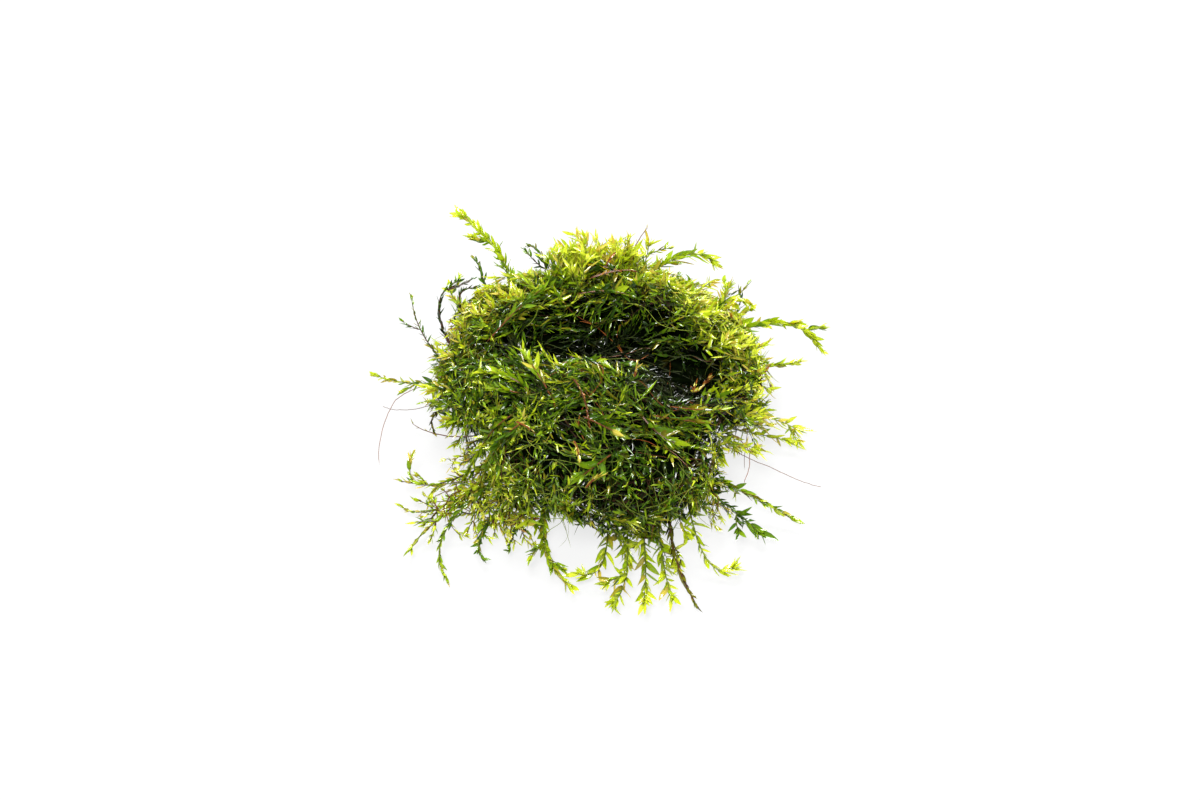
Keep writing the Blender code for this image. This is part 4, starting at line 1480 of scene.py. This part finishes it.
sideShoot = {
    "from": (0.35, 0.85),  # share of the way along the sprig
    "length": (2.5, 4.5),  # mm
    "open": (35, 60),  # degrees
    "rise": 0.1,
    "bent": 0.25,
    "bendAt": 0.55,  # share of its length
    "shorter": 0.8,  # its leaves, against the sprig's
    "points": 8,
}
sprigPoints = 22
sprigWander = {"step": 0.05, "share": 0.6}  # mm, and how much of it is kept
brownedUnder = 0.35  # a sprig whose stem is darker than this tone has a brown one


def growSprig(name, root, bend, tip, length, habit, tone, aged, stemTone, branches):
    rng = np.random.default_rng(1000 + len(name) * 17 + sum(map(ord, name)))
    bed = newBed()
    path = bentPath(root, bend, tip, sprigPoints)
    stray = wander(path, sprigWander["step"], rng) * np.linspace(0, 1, sprigPoints - 2)[:, None]
    path[1:-1] += stray * sprigWander["share"]
    browned = 1 if stemTone < brownedUnder else 0
    dressShoot(bed, path, habit, rng, tone, aged, stemTone, stemAged=browned, length=length)
    for i in range(branches):
        share = rng.uniform(*sideShoot["from"])
        start = int(share * (len(path) - 2))
        ahead = unit(path[start + 1] - path[start])
        across = unit(np.cross(ahead, (0, 0, 1))) * (1 if (i + len(name)) % 2 else -1)
        angle = math.radians(rng.uniform(*sideShoot["open"]))
        way = ahead * math.cos(angle) + across * math.sin(angle) + (0, 0, sideShoot["rise"])
        reach = rng.uniform(*sideShoot["length"])
        tip = path[start] + (way + ahead * sideShoot["bent"]) * reach
        bend = path[start] + way * reach * sideShoot["bendAt"]
        twig = bentPath(path[start], bend, tip, sideShoot["points"])
        short = length * sideShoot["shorter"]
        dressShoot(bed, twig, habit, rng, tone, aged, stemTone, stemAged=browned, length=short)
    growPiece("sprig_" + name, bed, ["shoot_" + name])


for name, facts in sprigs.items():
    growSprig(name, *facts)
print("stage: sprigs grown")

# Old stems: root, bend and tip in millimetres, radius, how they carry what leaves are left, tone and
# share of aged leaves. The front one's bend is 0.9 mm off its CAD node's.
oldStems = {
    "old_stem_front": ((12, -20, 7), (12.0, -32, 3.9), (16.4, -43.2, 1.5), 0.30, "husk", 0.30, 0.9),
    "old_stem_left": ((-19, -8, 6), (-28, -8, 5), (-33.5, -3, 3.5), 0.16, "twig", 0.45, 0.9),
    "old_stem_back": ((2, 12, 22), (5.5, 18.5, 25), (8.5, 22, 28), 0.15, "twig", 0.60, 0.9),
}
# Threads: root, bend and tip in millimetres, radius and tone.
threads = {
    "thread_left_long": ((-26, 3, 6), (-37, 3, 5), (-39, -11, 1), 0.075, 0.62),
    "thread_left_short": ((-25, 0, 7), (-33, -1, 4), (-39, 1, 3), 0.065, 0.45),
    "thread_right": ((23, -8, 6), (27, -11, 5), (25.5, -17, 2.5), 0.08, 0.66),
    "thread_right_low": ((22, -10, 5), (32, -14, 2), (39, -16, 1), 0.065, 0.55),
}
stemWander = {"step": 0.06, "share": 0.6}
oldStem = {"tone": 0.45, "points": 24}
thread = {"wander": 0.05, "taper": 0.35, "sides": 5, "points": 30}


def growOldStem(name, root, bend, tip, radius, habit, tone, aged):
    rng = np.random.default_rng(500 + sum(map(ord, name)))
    bed = newBed()
    path = bentPath(root, bend, tip, oldStem["points"])
    path[1:-1] += wander(path, stemWander["step"], rng) * stemWander["share"]
    dressShoot(bed, path, {**habits[habit], "stem": radius}, rng, tone, aged, oldStem["tone"], stemAged=1)
    growPiece(name + "_worn", bed, [name])


def growThread(name, root, bend, tip, radius, tone):
    rng = np.random.default_rng(700 + sum(map(ord, name)))
    bed = newBed()
    path = bentPath(root, bend, tip, thread["points"])
    path[1:-1] += wander(path, thread["wander"], rng)
    bareStem(bed, path, radius, tone, sides=thread["sides"], taper=thread["taper"])
    growPiece(name + "_hair", bed, [name])


for name, facts in oldStems.items():
    growOldStem(name, *facts)
for name, facts in threads.items():
    growThread(name, *facts)
print("stage: old stems and threads grown")


# The stage: a pale floor, soft light from above, and a small lamp for the wet glints.
stage = {
    "floorSize": 3.0,  # m
    "floorColour": (0.86, 0.86, 0.86),
    "floorGlow": 0.88,
    "glowShare": 0.9,  # how much of the floor's light is its own, so that shadows on it stay faint
    "sky": (0.12, 0.12, 0.12),
}
lamps = {
    "behind": {"place": (-0.06, 0.34, 0.46), "size": 0.27, "power": 5.4},
    "above": {"place": (-0.12, -0.20, 0.58), "size": 0.29, "power": 6.3},
    "side": {"place": (0.40, 0.10, 0.34), "size": 0.16, "power": 1.8},
    "low": {"place": (0.05, 0.55, 0.20), "size": 0.30, "power": 2.2},
}
lampAim = (0, 0, 0.01)


def addLamp(name, place, size, power):
    bpy.ops.object.select_all(action="DESELECT")
    aim = (Vector(lampAim) - Vector(place)).to_track_quat("-Z", "Y").to_euler()
    bpy.ops.object.light_add(type="AREA", location=place, rotation=aim)
    lamp = bpy.context.object
    lamp.name = name
    lamp.data.size = size
    lamp.data.energy = power


def setStage():
    bpy.ops.object.select_all(action="DESELECT")
    bpy.ops.mesh.primitive_plane_add(size=stage["floorSize"])
    floor = bpy.context.object
    floor.name = "floor"
    made, tree = startMaterial("paleFloor")
    matt = node(tree, "BsdfDiffuse", {"Color": (*stage["floorColour"], 1)})
    glow = node(tree, "Emission", {"Color": (1, 1, 1, 1), "Strength": stage["floorGlow"]})
    node(tree, "OutputMaterial", {0: node(tree, "MixShader", {0: stage["glowShare"], 1: matt, 2: glow})})
    floor.data.materials.append(made)

    world = bpy.data.worlds.new("paleSky")
    world.use_nodes = True
    world.node_tree.nodes["Background"].inputs["Color"].default_value = (*stage["sky"], 1)
    bpy.context.scene.world = world
    for name, lamp in lamps.items():
        addLamp(name, **lamp)


setStage()

# The photograph's view: lens and sensor in mm, aim and distance in m, degrees over the horizon.
view = {"lens": 100.0, "sensor": 36.0, "aim": (0.0, -0.0023, 0.0086), "distance": 0.59, "height": 48}


def setCamera():
    rise = math.radians(view["height"])
    away = Vector((0.0, -math.cos(rise), math.sin(rise)))
    place = Vector(view["aim"]) + away * view["distance"]
    bpy.ops.object.select_all(action="DESELECT")
    bpy.ops.object.camera_add(location=place, rotation=(math.pi / 2 - rise, 0, 0))
    camera = bpy.context.object
    camera.data.lens = view["lens"]
    camera.data.sensor_width = view["sensor"]
    camera.data.clip_start = 0.01
    bpy.context.scene.camera = camera
    bpy.context.scene.view_settings.view_transform = "Standard"


setCamera()
print("stage: stage set")
